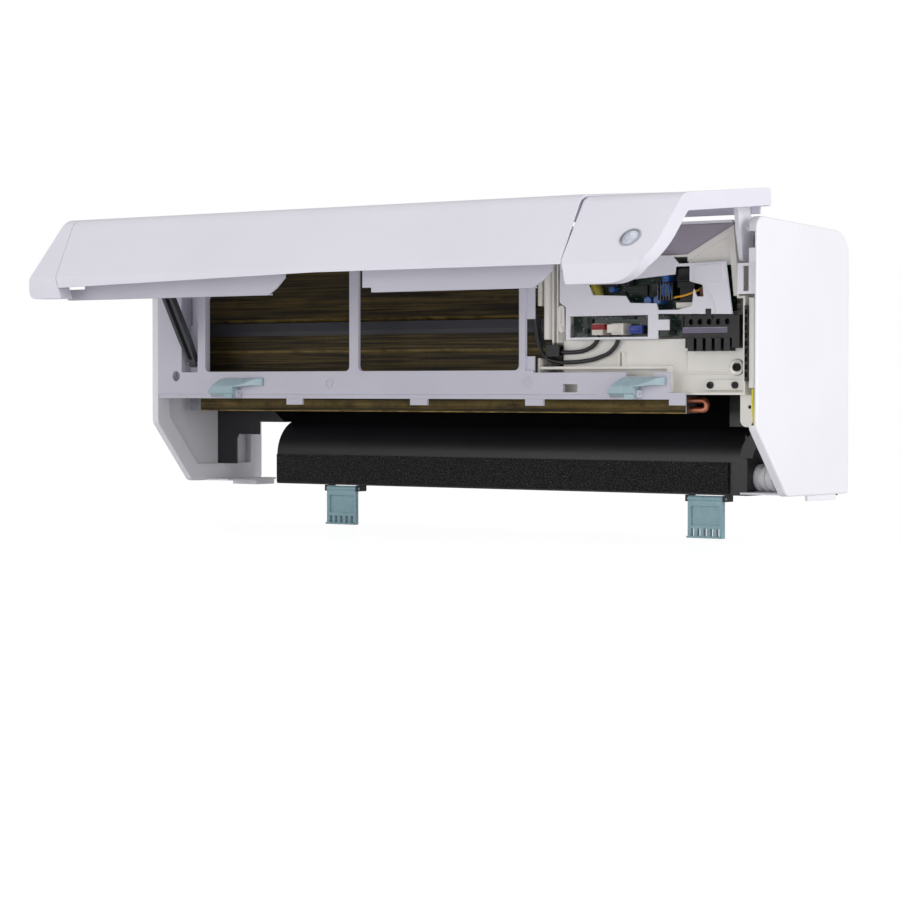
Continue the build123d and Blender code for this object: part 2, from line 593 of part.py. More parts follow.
with BuildPart() as hx_end_plates:
    for plate_x in (HX_LEFT - END_PLATE_T, HX_RIGHT):
        block(plate_x, plate_x + END_PLATE_T, -HX_FRONT, -HX_FRONT + HX_T, HX_LOW_H,
              FRONT_SLAB[0][1])
        prism_x(plate_x, plate_x + END_PLATE_T, front_slab)
        prism_x(plate_x, plate_x + END_PLATE_T, rear_slab)
        prism_x(plate_x, plate_x + END_PLATE_T,
                [midpoint(front_slab[0], front_slab[3]), front_slab[3], rear_slab[2],
                 midpoint(rear_slab[1], rear_slab[2])])
    block(HX_LEFT - 16.0, HX_LEFT - END_PLATE_T, -HX_FRONT, -HX_FRONT + END_PLATE_T,
          HX_LOW_H, 108.0)
finish(hx_end_plates, "hx_end_plates")


def return_bend(x, low, high):
    """U-shaped tube at the right end of the coil between two (depth, height) points."""
    start = Vector(x, low[0], BASE_Z + low[1])
    end = Vector(x, high[0], BASE_Z + high[1])
    out = Vector(BEND_LEG, 0, 0)
    crown = (start + end) * 0.5 + out + Vector((end - start).length / 2, 0, 0)
    with BuildLine() as route:
        Line(start, start + out)
        ThreePointArc(start + out, crown, end + out)
        Line(end + out, end)
    with BuildSketch(Plane(origin=start, z_dir=(1, 0, 0))) as section:
        Circle(BEND_TUBE_R)
    sweep(section.sketch, path=route.wire())


with BuildPart() as hx_return_bends:
    bend_x = HX_RIGHT + END_PLATE_T
    for low_h in (89.0, 113.0, 137.0):
        return_bend(bend_x, (HX_MID, low_h), (HX_MID, low_h + 2 * BEND_R_MID))
    for slab in (FRONT_SLAB, REAR_SLAB):
        for step in (10.0, 34.0):
            return_bend(bend_x, along_slab(slab, step), along_slab(slab, step + 2 * BEND_R_MID))
finish(hx_return_bends, "hx_return_bends")

# ------------------------------------------------------------ fan and motor
ROTOR_RING_T = 1.4
BLADE_IN_R = FAN_R - 11.0
BLADE_TIP = (FAN_R - 0.8, 6.0)

with BuildSketch() as blade:
    with BuildLine():
        ThreePointArc((BLADE_IN_R, 0), (FAN_R - 5.0, 2.2), BLADE_TIP)
        Line(BLADE_TIP, (BLADE_TIP[0], BLADE_TIP[1] + BLADE_T))
        ThreePointArc((BLADE_TIP[0], BLADE_TIP[1] + BLADE_T), (FAN_R - 5.6, 2.2 + BLADE_T),
                      (BLADE_IN_R, BLADE_T))
        Line((BLADE_IN_R, BLADE_T), (BLADE_IN_R, 0))
    make_face()

with BuildPart() as fan_impeller:
    ring_pitch = (FAN_RIGHT - FAN_LEFT - ROTOR_RING_T) / (FAN_RINGS - 1)
    fan_plane = Plane(origin=(FAN_LEFT, -FAN_DEPTH, BASE_Z + FAN_H), x_dir=(0, 1, 0), z_dir=(1, 0, 0))
    with BuildSketch(fan_plane):
        with PolarLocations(0, FAN_BLADES):
            add(blade.sketch)
    extrude(amount=FAN_RIGHT - FAN_LEFT)
    for ring in range(FAN_RINGS):
        ring_x = ring * ring_pitch
        hollow_r = SHAFT_R if ring in (0, FAN_RINGS - 1) else BLADE_IN_R - 2.0
        with BuildSketch(fan_plane.offset(ring_x)):
            Circle(FAN_R)
            Circle(hollow_r, mode=Mode.SUBTRACT)
        extrude(amount=ROTOR_RING_T)
finish(fan_impeller, "fan_impeller")

SHAFT_LEFT = FAN_LEFT - 17.0
SHAFT_RIGHT = MOTOR_LEFT + 9.0

with BuildPart() as fan_shaft:
    bar_x(SHAFT_LEFT, FAN_LEFT + ROTOR_RING_T, -FAN_DEPTH, FAN_H, SHAFT_R)
    bar_x(FAN_RIGHT - ROTOR_RING_T, SHAFT_RIGHT, -FAN_DEPTH, FAN_H, SHAFT_R)
finish(fan_shaft, "fan_shaft")

with BuildPart() as fan_bearing:
    bar_x(SHAFT_LEFT - 2.0, SCROLL_LEFT, -FAN_DEPTH, FAN_H, BEARING_R)
    bar_x(SHAFT_LEFT, SCROLL_LEFT, -FAN_DEPTH, FAN_H, SHAFT_R + RUN_FIT, Mode.SUBTRACT)
finish(fan_bearing, "fan_bearing")

with BuildPart() as fan_motor:
    bar_x(MOTOR_LEFT, MOTOR_LEFT + MOTOR_L, -FAN_DEPTH, FAN_H, MOTOR_R - 4.0)
    bar_x(MOTOR_LEFT + 14.0, MOTOR_LEFT + MOTOR_L - 10.0, -FAN_DEPTH, FAN_H, MOTOR_R)
    bar_x(MOTOR_LEFT, SHAFT_RIGHT + 1.0, -FAN_DEPTH, FAN_H, SHAFT_R + RUN_FIT, Mode.SUBTRACT)
finish(fan_motor, "fan_motor")

SADDLE_LEFT = MOTOR_LEFT + 18.0
SADDLE_W = 20.0

with BuildPart() as motor_bracket:
    block(SADDLE_LEFT, SADDLE_LEFT + SADDLE_W, -FAN_DEPTH - 20.0, BACK_FACE, LEDGE_H, FAN_H)
    bar_x(SADDLE_LEFT, SADDLE_LEFT + SADDLE_W, -FAN_DEPTH, FAN_H, MOTOR_R, Mode.SUBTRACT)
    scroll_rib(SADDLE_LEFT, SADDLE_LEFT + SADDLE_W, Mode.SUBTRACT)
finish(motor_bracket, "motor_bracket")

# -------------------------------------------------------------- electrical box
TRAY_OUTLINE = [
    (TRAY_LEFT, TRAY_LOW_H), (TRAY_RIGHT, TRAY_LOW_H), (TRAY_RIGHT, TRAY_STEP_H),
    (TRAY_SHOULDER_X, TRAY_STEP_H), (TRAY_PEAK_X, TRAY_PEAK_H), (TRAY_SLOPE_X, TRAY_TOP_H),
    (TRAY_LEFT, TRAY_TOP_H),
]
TRAY_FLOOR = -TRAY_BACK - TRAY_WALL     # front side of the tray's rear wall
STEP_LEFT = 170.0
STEP_RIGHT = TRAY_RIGHT - TRAY_WALL
LEDGE_RIGHT = 310.5
LEDGE_TOP_H = 135.0
PCB_LEFT = 178.0
PCB_LOW_H = 166.0
PCB_STEP_X = 327.0
PCB_STEP_H = 191.0
PCB_TOP_H = 243.0
PCB_RIGHT = 382.0
PCB_POSTS = [(184.0, 236.0), (376.0, 236.0), (184.0, 172.0), (376.0, 197.0)]
PCB_BACK = -PCB_FRONT + PCB_T
FLANGE_RIGHT = TRAY_RIGHT + 10.5
FLANGE_HEIGHTS = (112.0, 204.0)
WASHER = (388.5, 133.3)
WASHER_R = 8.5
TRAY_SCREWS = [(358.0, 115.0), (388.0, 115.0)]
TRAY_SCREW_HEAD_R = 3.6
TRAY_SCREW_SEAT = -SHELF_FRONT - 3.0
POST_TUBE_X = 152.0

with BuildPart() as ebox_tray:
    plate_y(-TRAY_BACK, -TRAY_FRONT, TRAY_OUTLINE)
    with BuildSketch(FRONT.offset(-TRAY_FLOOR)) as well:
        with BuildLine():
            Polyline(*TRAY_OUTLINE, close=True)
        make_face()
        offset(amount=-TRAY_WALL, kind=Kind.INTERSECTION)
    extrude(amount=TRAY_FRONT + TRAY_FLOOR, mode=Mode.SUBTRACT)
    # beam along the slope of the upper edge
    plate_y(-TRAY_FRONT + 10.0, -TRAY_FRONT,
            [(TRAY_SLOPE_X, TRAY_TOP_H), (TRAY_SLOPE_X, TRAY_TOP_H - TRAY_BEAM_H),
             (TRAY_PEAK_X, TRAY_PEAK_H - TRAY_BEAM_H), (TRAY_PEAK_X, TRAY_PEAK_H)])
    plate_y(-TRAY_FRONT + 10.0, -TRAY_FRONT,
            [(TRAY_PEAK_X, TRAY_PEAK_H), (TRAY_PEAK_X - TRAY_RIM_W, TRAY_PEAK_H - TRAY_RIM_W),
             (TRAY_SHOULDER_X - TRAY_RIM_W, TRAY_STEP_H), (TRAY_SHOULDER_X, TRAY_STEP_H)])
    plate_y(-TRAY_FRONT + 3.5, -TRAY_FRONT + 2.0,
            [(TRAY_SLOPE_X, TRAY_TOP_H - TRAY_BEAM_H), (TRAY_PEAK_X, TRAY_PEAK_H - TRAY_BEAM_H),
             (TRAY_PEAK_X, PCB_TOP_H - 5.0), (TRAY_SLOPE_X, PCB_TOP_H - 5.0)])
    # shelf under the circuit board, with the step wall in front of it
    block(STEP_LEFT, STEP_RIGHT, -SHELF_FRONT, TRAY_FLOOR, SHELF_H - TRAY_WALL, SHELF_H)
    block(STEP_LEFT, STEP_RIGHT, -SHELF_FRONT, -SHELF_FRONT + TRAY_WALL, TRAY_LOW_H + TRAY_WALL,
          SHELF_H)
    for post_x, post_h in PCB_POSTS:
        bar_y(post_x, post_h, TRAY_FLOOR, PCB_BACK, 3.0)
    # raised ledge that frames the lower left of the step wall
    block(TRAY_LEFT + TRAY_WALL, LEDGE_RIGHT, -TRAY_FRONT, -SHELF_FRONT, LEDGE_TOP_H - 3.0,
          LEDGE_TOP_H)
    block(LEDGE_RIGHT - 3.0, LEDGE_RIGHT, -TRAY_FRONT, -SHELF_FRONT, TRAY_LOW_H + TRAY_WALL,
          LEDGE_TOP_H)
    for rib_x in (244.0, 249.0):
        block(rib_x, rib_x + 1.6, -SHELF_FRONT - 5.0, -SHELF_FRONT, LEDGE_TOP_H, 150.0)
    block(326.0, 376.0, -SHELF_FRONT - 1.2, -SHELF_FRONT, 126.0, 127.5)
    block(326.0, 327.5, -SHELF_FRONT - 1.2, -SHELF_FRONT, 127.5, 150.0)
    # ribbed posts at the left end, beside the leads
    with BuildSketch(Plane.XY.offset(BASE_Z + SHELF_H + 1.0)):
        with Locations((POST_TUBE_X, -TRAY_FRONT + 7.0)):
            Circle(5.5)
    extrude(amount=TRAY_TOP_H - TRAY_WALL - SHELF_H - 1.0)
    block(POST_TUBE_X - 1.0, POST_TUBE_X + 1.0, -TRAY_FRONT + 7.0, TRAY_FLOOR, SHELF_H + 1.0,
          TRAY_TOP_H - TRAY_WALL)
    for rib_x in (161.0, 167.0):
        block(rib_x, rib_x + 2.0, -TRAY_FRONT, TRAY_FLOOR, SHELF_H - TRAY_WALL,
              TRAY_TOP_H - TRAY_WALL)
    # way in for the leads at the left
    block(TRAY_LEFT, TRAY_LEFT + TRAY_WALL, -TRAY_FRONT, -150.0, 144.0, 200.0, Mode.SUBTRACT)
    # screw seats
    block(351.5, 397.0, TRAY_SCREW_SEAT, -SHELF_FRONT, 109.5, 120.5)
    for screw_x, screw_h in TRAY_SCREWS:
        bar_y(screw_x, screw_h, TRAY_SCREW_SEAT + SCREW_LENGTH, TRAY_SCREW_SEAT,
              TRAY_SCREW_HEAD_R / 2, Mode.SUBTRACT)
    bar_y(*WASHER, -SHELF_FRONT + TRAY_WALL, -SHELF_FRONT, 1.8, Mode.SUBTRACT)
    # flange on the right, which holds the ladder-shaped gasket
    block(TRAY_RIGHT, FLANGE_RIGHT, -TRAY_FRONT + 10.0, -TRAY_FRONT + 14.0, *FLANGE_HEIGHTS)
    block(TRAY_RIGHT + 4.5, FLANGE_RIGHT, -TRAY_FRONT, -TRAY_FRONT + 10.0, *FLANGE_HEIGHTS)
finish(ebox_tray, "ebox_tray", EBOX)

COVER_LEFT = 174.0
COVER_STEP_X = 182.0
COVER_STEP_H = 203.0
COVER_LOW_H = 163.0
COVER_RIGHT = 390.0
COVER_FOOT_H = 189.0
WINDOW_LOW = (187.0, 287.0, 165.5, 188.0)
UPPER_WINDOW = [
    (211.0, 221.0), (216.5, 210.0), (258.5, 208.5), (264.0, 201.0), (297.0, 200.0),
    (299.5, 193.0), (325.0, 193.0), (341.5, 196.5), (343.5, 214.0), (347.0, 206.0),
    (355.5, 206.0), (354.5, 218.0), (338.5, 222.0), (338.5, 237.5), (321.0, 237.5),
    (320.0, 229.5), (299.5, 228.0),
]
ARC_CENTRE = (338.0, 188.0)
ARC_R = 35.0
BLOCK_KEY = (357.5, 364.5)      # key of the terminal block that stands in the cover's foot
BLOCK_KEY_TOP_H = 193.0

with BuildPart() as ebox_cover:
    plate_y(-COVER_FRONT + COVER_T, -COVER_FRONT,
            [(COVER_LEFT, TRAY_TOP_H - 1.0), (COVER_LEFT, COVER_STEP_H),
             (COVER_STEP_X, COVER_STEP_H - 5.0), (COVER_STEP_X, COVER_LOW_H),
             (299.0, COVER_LOW_H), (299.0, COVER_FOOT_H), (COVER_RIGHT, COVER_FOOT_H - 1.5),
             (382.0, 241.5), (325.0, 240.5), (316.0, TRAY_TOP_H - 1.0)])
    block(BLOCK_KEY[0] - GAP, BLOCK_KEY[1] + GAP, -COVER_FRONT, -COVER_FRONT + COVER_T, COVER_LOW_H,
          BLOCK_KEY_TOP_H + GAP, Mode.SUBTRACT)
    block(299.0, 313.0, -COVER_FRONT, -COVER_FRONT + COVER_T, 172.0, 183.0)
    block(290.0, 299.0, -COVER_FRONT, -COVER_FRONT + COVER_T, COVER_LOW_H, COVER_FOOT_H)
    # returns that stand the cover on the tray's rim
    block(176.0, 316.0, -COVER_FRONT + COVER_T, -TRAY_FRONT, TRAY_TOP_H - TRAY_WALL, TRAY_TOP_H - 1.0)
    block(WINDOW_LOW[0], WINDOW_LOW[1], -COVER_FRONT, -COVER_FRONT + COVER_T, WINDOW_LOW[2],
          WINDOW_LOW[3], Mode.SUBTRACT)
    plate_y(-COVER_FRONT + COVER_T, -COVER_FRONT, UPPER_WINDOW, Mode.SUBTRACT)
    # raised field right of the window, bounded by a quarter round
    with BuildSketch(FRONT.offset(COVER_FRONT)) as field:
        with BuildLine():
            FilletPolyline((345.0, 221.0), (380.0, 221.0), (378.0, 239.0), (345.0, 238.0), radius=3.0,
                           close=True)
        make_face()
    extrude(amount=0.8)
    bar_y(*ARC_CENTRE, -COVER_FRONT, -COVER_FRONT - 0.8, ARC_R)
    bar_y(*ARC_CENTRE, -COVER_FRONT, -COVER_FRONT - 0.8, ARC_R - 2.0, Mode.SUBTRACT)
    block(ARC_CENTRE[0] - ARC_R, 342.0, -COVER_FRONT - 0.8, -COVER_FRONT, 150.0, 225.0,
          Mode.SUBTRACT)
    block(342.0, ARC_CENTRE[0] + ARC_R, -COVER_FRONT - 0.8, -COVER_FRONT, 150.0, COVER_FOOT_H,
          Mode.SUBTRACT)
    plate_y(-COVER_FRONT, -COVER_FRONT - 0.8, UPPER_WINDOW, Mode.SUBTRACT)
finish(ebox_cover, "ebox_cover", EBOX)

SHIELD_FRONT = 175.0
SHIELD_T = 1.2
SHIELD_TOP_H = BEAM_TOP_H - GRILLE_T - 0.6
SHIELD_FALL = 1.7       # fall of its return, parallel to the grille above

with BuildPart() as ebox_rain_shield:
    plate_y(-SHIELD_FRONT + SHIELD_T, -SHIELD_FRONT,
            [(TRAY_LEFT + GAP, TRAY_TOP_H + GAP), (TRAY_SLOPE_X - GAP, TRAY_TOP_H + GAP),
             (TRAY_PEAK_X - GAP, TRAY_PEAK_H + GAP), (TRAY_PEAK_X - GAP, SHIELD_TOP_H),
             (TRAY_LEFT + GAP, SHIELD_TOP_H)])
    prism_x(TRAY_LEFT + GAP, TRAY_SLOPE_X + 20.0,
            [(-SHIELD_FRONT, SHIELD_TOP_H), (-TRAY_BACK, SHIELD_TOP_H - SHIELD_FALL),
             (-TRAY_BACK, SHIELD_TOP_H - SHIELD_FALL - SHIELD_T),
             (-SHIELD_FRONT, SHIELD_TOP_H - SHIELD_T)])
finish(ebox_rain_shield, "ebox_rain_shield", EBOX)

with BuildPart() as main_pcb:
    plate_y(PCB_BACK, -PCB_FRONT,
            [(PCB_LEFT, PCB_LOW_H), (PCB_STEP_X, PCB_LOW_H), (PCB_STEP_X, PCB_STEP_H),
             (PCB_RIGHT, PCB_STEP_H), (PCB_RIGHT, PCB_TOP_H), (PCB_LEFT, PCB_TOP_H)])
finish(main_pcb, "main_pcb", EBOX)


def on_board(x0, x1, h0, h1, height, mode=Mode.ADD):
    """Block that stands on the front of the circuit board."""
    block(x0, x1, -PCB_FRONT - height, -PCB_FRONT, h0, h1, mode)


CAPACITORS = [(281.0, 203.0, 4.5, 13.0), (293.0, 203.5, 4.5, 13.0), (232.0, 216.0, 3.5, 8.0),
              (305.0, 214.0, 7.0, 15.0), (300.0, 232.0, 5.0, 12.0)]
FILM_W = 8.0
CHIPS = [(242.0, 212.0, 9.0, 5.0), (268.0, 214.0, 12.0, 12.0), (200.0, 183.0, 7.0, 5.0),
         (204.5, 173.0, 5.0, 4.0), (196.0, 172.5, 4.0, 5.0), (284.0, 172.5, 3.0, 8.0),
         (305.0, 170.5, 6.0, 4.0), (319.0, 175.0, 4.0, 9.0), (250.0, 186.5, 16.0, 4.0)]

with BuildPart() as pcb_capacitors:
    for cap_x, cap_h, cap_r, cap_height in CAPACITORS:
        bar_y(cap_x, cap_h, -PCB_FRONT, -PCB_FRONT - cap_height, cap_r)
finish(pcb_capacitors, "pcb_capacitors", EBOX)

with BuildPart() as film_capacitor:
    plate_y(-PCB_FRONT, -PCB_FRONT - 14.0,
            [(208.5, 209.5), (208.5 + FILM_W, 209.5), (206.5 + FILM_W, 222.0), (210.0, 222.0)])
finish(film_capacitor, "film_capacitor", EBOX)

RELAY = (262.0, 278.0, 168.5, 176.5)

with BuildPart() as pcb_components:
    on_board(*RELAY, 15.0)
    for chip_x, chip_h, chip_w, chip_height in CHIPS:
        on_board(chip_x - chip_w / 2, chip_x + chip_w / 2, chip_h - chip_height / 2,
                 chip_h + chip_height / 2, 2.5)
finish(pcb_components, "pcb_components", EBOX)

with BuildPart() as pcb_transformer:
    on_board(321.0, 338.0, 199.0, 236.5, 12.0)
    on_board(319.0, 340.0, 216.0, 222.0, 14.0)
    on_board(341.0, 358.0, 196.0, 208.0, 12.0)
finish(pcb_transformer, "pcb_transformer", EBOX)

CONNECTOR_LOW_H = 168.0
CONNECTOR_TALL = 12.0
CONNECTOR_DEEP = 15.5
CONNECTORS = [(212.0, 14.0), (237.0, 15.0)]

with BuildPart() as pcb_connectors:
    for plug_x, plug_w in CONNECTORS:
        on_board(plug_x, plug_x + plug_w, CONNECTOR_LOW_H, CONNECTOR_LOW_H + CONNECTOR_TALL,
                 CONNECTOR_DEEP)
        on_board(plug_x + 2.0, plug_x + plug_w - 2.0, CONNECTOR_LOW_H + CONNECTOR_TALL - 3.0,
                 CONNECTOR_LOW_H + CONNECTOR_TALL, CONNECTOR_DEEP + 1.0)
finish(pcb_connectors, "pcb_connectors", EBOX)

# ------------------------------------------------------------ terminal block
BLOCK_LEFT = 327.5
BLOCK_RIGHT = 397.0
BLOCK_FRONT = 178.0
BLOCK_TOP_H = 187.0
FINGER_LOW_H = 150.0
FIRST_TERMINAL = 338.5
TERMINAL_H = 180.0
LABEL_H = 171.5

with BuildPart() as terminal_block:
    block(BLOCK_LEFT, BLOCK_RIGHT, -BLOCK_FRONT, -PCB_FRONT + 10.0, SHELF_H, BLOCK_TOP_H)
    block(BLOCK_LEFT, BLOCK_RIGHT, -BLOCK_FRONT + 6.0, -SHELF_FRONT, FINGER_LOW_H + 3.0, SHELF_H)
    block(BLOCK_RIGHT - 9.0, BLOCK_RIGHT, -BLOCK_FRONT, -SHELF_FRONT, FINGER_LOW_H + 3.0, SHELF_H)
    block(*BLOCK_KEY, -BLOCK_FRONT - 1.5, -BLOCK_FRONT + 2.0, BLOCK_TOP_H - 4.0, BLOCK_KEY_TOP_H)
    for terminal in range(TERMINALS):
        terminal_x = FIRST_TERMINAL + terminal * TERMINAL_PITCH
        block(terminal_x - 3.6, terminal_x + 3.6, -BLOCK_FRONT - 1.0, -SHELF_FRONT, FINGER_LOW_H,
              SHELF_H + 1.0)
        bar_y(terminal_x, TERMINAL_H, -BLOCK_FRONT + 8.0, -BLOCK_FRONT, 3.0, Mode.SUBTRACT)
    block(BLOCK_LEFT, BLOCK_LEFT + 2.0, -BLOCK_FRONT - 1.5, -BLOCK_FRONT, LABEL_H + 3.5, BLOCK_TOP_H)
finish(terminal_block, "terminal_block", EBOX)

with BuildPart() as terminal_screws:
    for terminal in range(TERMINALS):
        terminal_x = FIRST_TERMINAL + terminal * TERMINAL_PITCH
        bar_y(terminal_x, TERMINAL_H, -BLOCK_FRONT + 8.0, -BLOCK_FRONT + 4.0, 3.0)
        block(terminal_x - 2.2, terminal_x + 2.2, -BLOCK_FRONT + 4.0, -BLOCK_FRONT + 4.8,
              TERMINAL_H - 0.4, TERMINAL_H + 0.4, Mode.SUBTRACT)
finish(terminal_screws, "terminal_screws", EBOX)

with BuildPart() as terminal_label:
    block(BLOCK_LEFT + 1.0, BLOCK_LEFT + 55.5, -BLOCK_FRONT - 0.6, -BLOCK_FRONT, LABEL_H - 3.0,
          LABEL_H + 3.0)
finish(terminal_label, "terminal_label", EBOX)

with BuildPart() as tray_screws:
    for screw_x, screw_h in TRAY_SCREWS:
        pan_screw(screw_x, screw_h, TRAY_SCREW_SEAT, TRAY_SCREW_HEAD_R)
    bar_y(*WASHER, -SHELF_FRONT, -SHELF_FRONT - 1.2, WASHER_R)
    bar_y(*WASHER, -SHELF_FRONT - 1.2, -SHELF_FRONT - 3.4, 4.2)
    bar_y(*WASHER, -SHELF_FRONT - 2.2, -SHELF_FRONT - 3.4, 1.8, Mode.SUBTRACT)
finish(tray_screws, "tray_screws", EBOX)

with BuildPart() as cable_clamp:
    block(153.0, 170.0, -177.0, TRAY_FLOOR, 145.5, 158.5)
    block(153.0, 170.0, -174.6, -167.0, 147.0, 156.4, Mode.SUBTRACT)
    block(150.0, 166.0, -177.0, TRAY_FLOOR, LEDGE_TOP_H, LEDGE_TOP_H + 1.6)
    block(153.0, 166.0, -166.0, TRAY_FLOOR, LEDGE_TOP_H, 150.0)
finish(cable_clamp, "cable_clamp", EBOX)

with BuildPart() as thermistor_clip:
    with BuildSketch(FRONT.offset(TRAY_FRONT - 1.0)):
        with BuildLine():
            FilletPolyline((169.5, 171.0), (177.5, 171.0), (177.5, 200.0), (169.5, 200.0), radius=3.9,
                           close=True)
        make_face()
    extrude(amount=1.8)
    block(171.5, 175.5, -TRAY_FRONT + 1.0, TRAY_FLOOR, 180.0, 190.0)
    bar_y(173.5, 175.5, -TRAY_FRONT - 0.8, -TRAY_FRONT - 2.2, 2.6)
    block(172.8, 174.2, -TRAY_FRONT - 0.8, -TRAY_FRONT, 181.0, 196.0, Mode.SUBTRACT)
finish(thermistor_clip, "thermistor_clip", EBOX)

GASKET_CELLS = 9

with BuildPart() as side_gasket:
    block(TRAY_RIGHT + GAP, TRAY_RIGHT + 4.1, -TRAY_FRONT - 2.0, -TRAY_FRONT + 9.6, 119.0, 196.0)
    for cell in range(GASKET_CELLS):
        cell_h = 123.0 + cell * 8.0
        block(TRAY_RIGHT + 1.2, TRAY_RIGHT + 3.3, -TRAY_FRONT - 2.0, -TRAY_FRONT + 2.0, cell_h,
              cell_h + 5.0, Mode.SUBTRACT)
finish(side_gasket, "side_gasket", EBOX)

EARTH_TAB = (399.5, 79.5)       # centre of the earth bracket's rounded lower end
EARTH_TAB_R = 7.5
EARTH_HOLE = (403.2, 92.6)

with BuildPart() as earth_bracket:
    tab_left = EARTH_TAB[0] - EARTH_TAB_R
    block(tab_left, EARTH_TAB[0] + EARTH_TAB_R, -SHELF_FRONT, -SHELF_FRONT + 1.5, EARTH_TAB[1],
          TRAY_LOW_H)
    bar_y(*EARTH_TAB, -SHELF_FRONT + 1.5, -SHELF_FRONT, EARTH_TAB_R)
    bar_y(*EARTH_HOLE, -SHELF_FRONT + 1.5, -SHELF_FRONT, 2.0, Mode.SUBTRACT)
    block(tab_left, TRAY_RIGHT - 1.0, -SHELF_FRONT + 1.5, -150.0, TRAY_LOW_H - 1.5, TRAY_LOW_H)
finish(earth_bracket, "earth_bracket", EBOX)

# ------------------------------------------------------------------ front panel
PANEL_LINE = [(PANEL_REAR[0], PANEL_LIP_H), PANEL_REAR, PANEL_BEND, PANEL_NOSE,
              (PANEL_NOSE[0], PANEL_LOW_H)]
FASCIA_SET_BACK = 5.0
FASCIA_LINE = [PANEL_LINE[0], PANEL_REAR,
               (PANEL_BEND[0] + FASCIA_SET_BACK, PANEL_BEND[1] - FASCIA_SET_BACK / 2),
               (PANEL_NOSE[0] + FASCIA_SET_BACK / 2, PANEL_NOSE[1]),
               (PANEL_NOSE[0] + FASCIA_SET_BACK / 2, PANEL_LOW_H)]
LINE_RADII = [0.4, 3.0, BEND_R, NOSE_R, 0.4]
PANEL_TOP = PANEL_REAR[1] + 14.0        # above the whole panel, for cuts from the front
SEAM_H = 300.0                          # height where the slanted seams start
EDGE_R = 0.4


def inset(line, wall):
    """The same open line moved inwards by wall, with mitred corners."""
    normals = []
    for (y0, h0), (y1, h1) in zip(line, line[1:]):
        run = hypot(y1 - y0, h1 - h0)
        normals.append(((h0 - h1) / run, (y1 - y0) / run))
    moved = []
    for (y, h), (a, b), (c, d) in zip(line, [normals[0]] + normals, normals + [normals[-1]]):
        share = wall / (1 + a * c + b * d)
        moved.append((y + share * (a + c), h + share * (b + d)))
    return moved


def inner_height(line, start, y):
    """Height of the panel's inner surface at depth y, on the stretch that begins at start."""
    (y0, h0), (y1, h1) = inset(line, PANEL_WALL)[start:start + 2]
    return h0 + (y - y0) * (h1 - h0) / (y1 - y0)


def band(x0, x1, line, radii, near, far, mode=Mode.ADD):
    """Prism between two depths under the panel's outer line."""
    outer = inset(line, near)
    inner = inset(line, far)
    outer_radii = [max(radius - near, EDGE_R) for radius in radii]
    inner_radii = [max(radius - far, EDGE_R) for radius in radii]
    with BuildSketch(SIDE.offset(x0)) as section:
        with BuildLine():
            FilletPolyline(*outer, *reversed(inner), radius=outer_radii + inner_radii[::-1],
                           close=True)
        make_face()
    extrude(section.sketch, amount=x1 - x0, mode=mode)


def from_front(outline, radii, inwards, mode):
    """Cut or keep what lies inside an (x, height) outline, seen from the front."""
    with BuildSketch(FRONT.offset(-PANEL_REAR[0] - 20.0)) as view:
        with BuildLine():
            FilletPolyline(*outline, radius=radii, close=True)
        make_face()
        if inwards:
            offset(amount=-inwards, kind=Kind.INTERSECTION)
    extrude(view.sketch, amount=-PANEL_NOSE[0], mode=mode)


def end_moulding(line, outline, radii):
    """Moulding at one end of the panel: a skin with a rim all round its back."""
    low_x = min(x for x, _ in outline)
    high_x = max(x for x, _ in outline)
    with BuildPart(mode=Mode.PRIVATE) as hollow:
        band(low_x, high_x, line[1:], LINE_RADII[1:], PANEL_WALL, PANEL_SIDE_DEPTH + 1.0)
        from_front(outline, radii, PANEL_WALL, Mode.INTERSECT)
    band(low_x, high_x, line[1:], LINE_RADII[1:], 0, PANEL_SIDE_DEPTH)
    add(hollow.part, mode=Mode.SUBTRACT)
    band(low_x, high_x, line, LINE_RADII, 0, PANEL_WALL)
    from_front(outline, radii, 0, Mode.INTERSECT)


CAP_OUTLINE = [(-HALF_W, PANEL_TOP), (CAP_TOP_X, PANEL_TOP), (CAP_TOP_X, SEAM_H),
               (CAP_LOW_X, PANEL_LOW_H), (-HALF_W, PANEL_LOW_H)]
CAP_RADII = [1.0, 1.0, 40.0, 1.0, 10.0]
FASCIA_OUTLINE = [(FASCIA_TOP_X, PANEL_TOP), (HALF_W, PANEL_TOP), (HALF_W, PANEL_LOW_H),
                  (FASCIA_LOW_X, PANEL_LOW_H), (FASCIA_TOP_X, SEAM_H)]
FASCIA_RADII = [1.0, 1.0, FASCIA_CORNER_R, 2.0, 40.0]
FASCIA_WINDOW_Y = FASCIA_LINE[2][0] + ((FASCIA_LINE[2][1] - SENSOR_H)
                                       * (FASCIA_LINE[3][0] - FASCIA_LINE[2][0])
                                       / (FASCIA_LINE[2][1] - FASCIA_LINE[3][1]))
FACE_RUN = hypot(FASCIA_LINE[3][0] - FASCIA_LINE[2][0], FASCIA_LINE[3][1] - FASCIA_LINE[2][1])
FACE_NORMAL = (0, -(FASCIA_LINE[2][1] - FASCIA_LINE[3][1]) / FACE_RUN,
               (FASCIA_LINE[2][0] - FASCIA_LINE[3][0]) / FACE_RUN)
SENSOR = Plane(origin=(SENSOR_X, FASCIA_WINDOW_Y, BASE_Z + SENSOR_H), x_dir=(1, 0, 0),
               z_dir=FACE_NORMAL)
LENS_R = SENSOR_R - 1.8



def clear_side(side):
    """Cut the flange along the panel's rear back where it passes over a side panel."""
    block(side * (INNER_X - 1.0), side * HALF_W, PANEL_REAR[0] - PANEL_WALL - 2.0, PANEL_REAR[0],
          PANEL_LIP_H, PANEL_LIP_END_H, Mode.SUBTRACT)


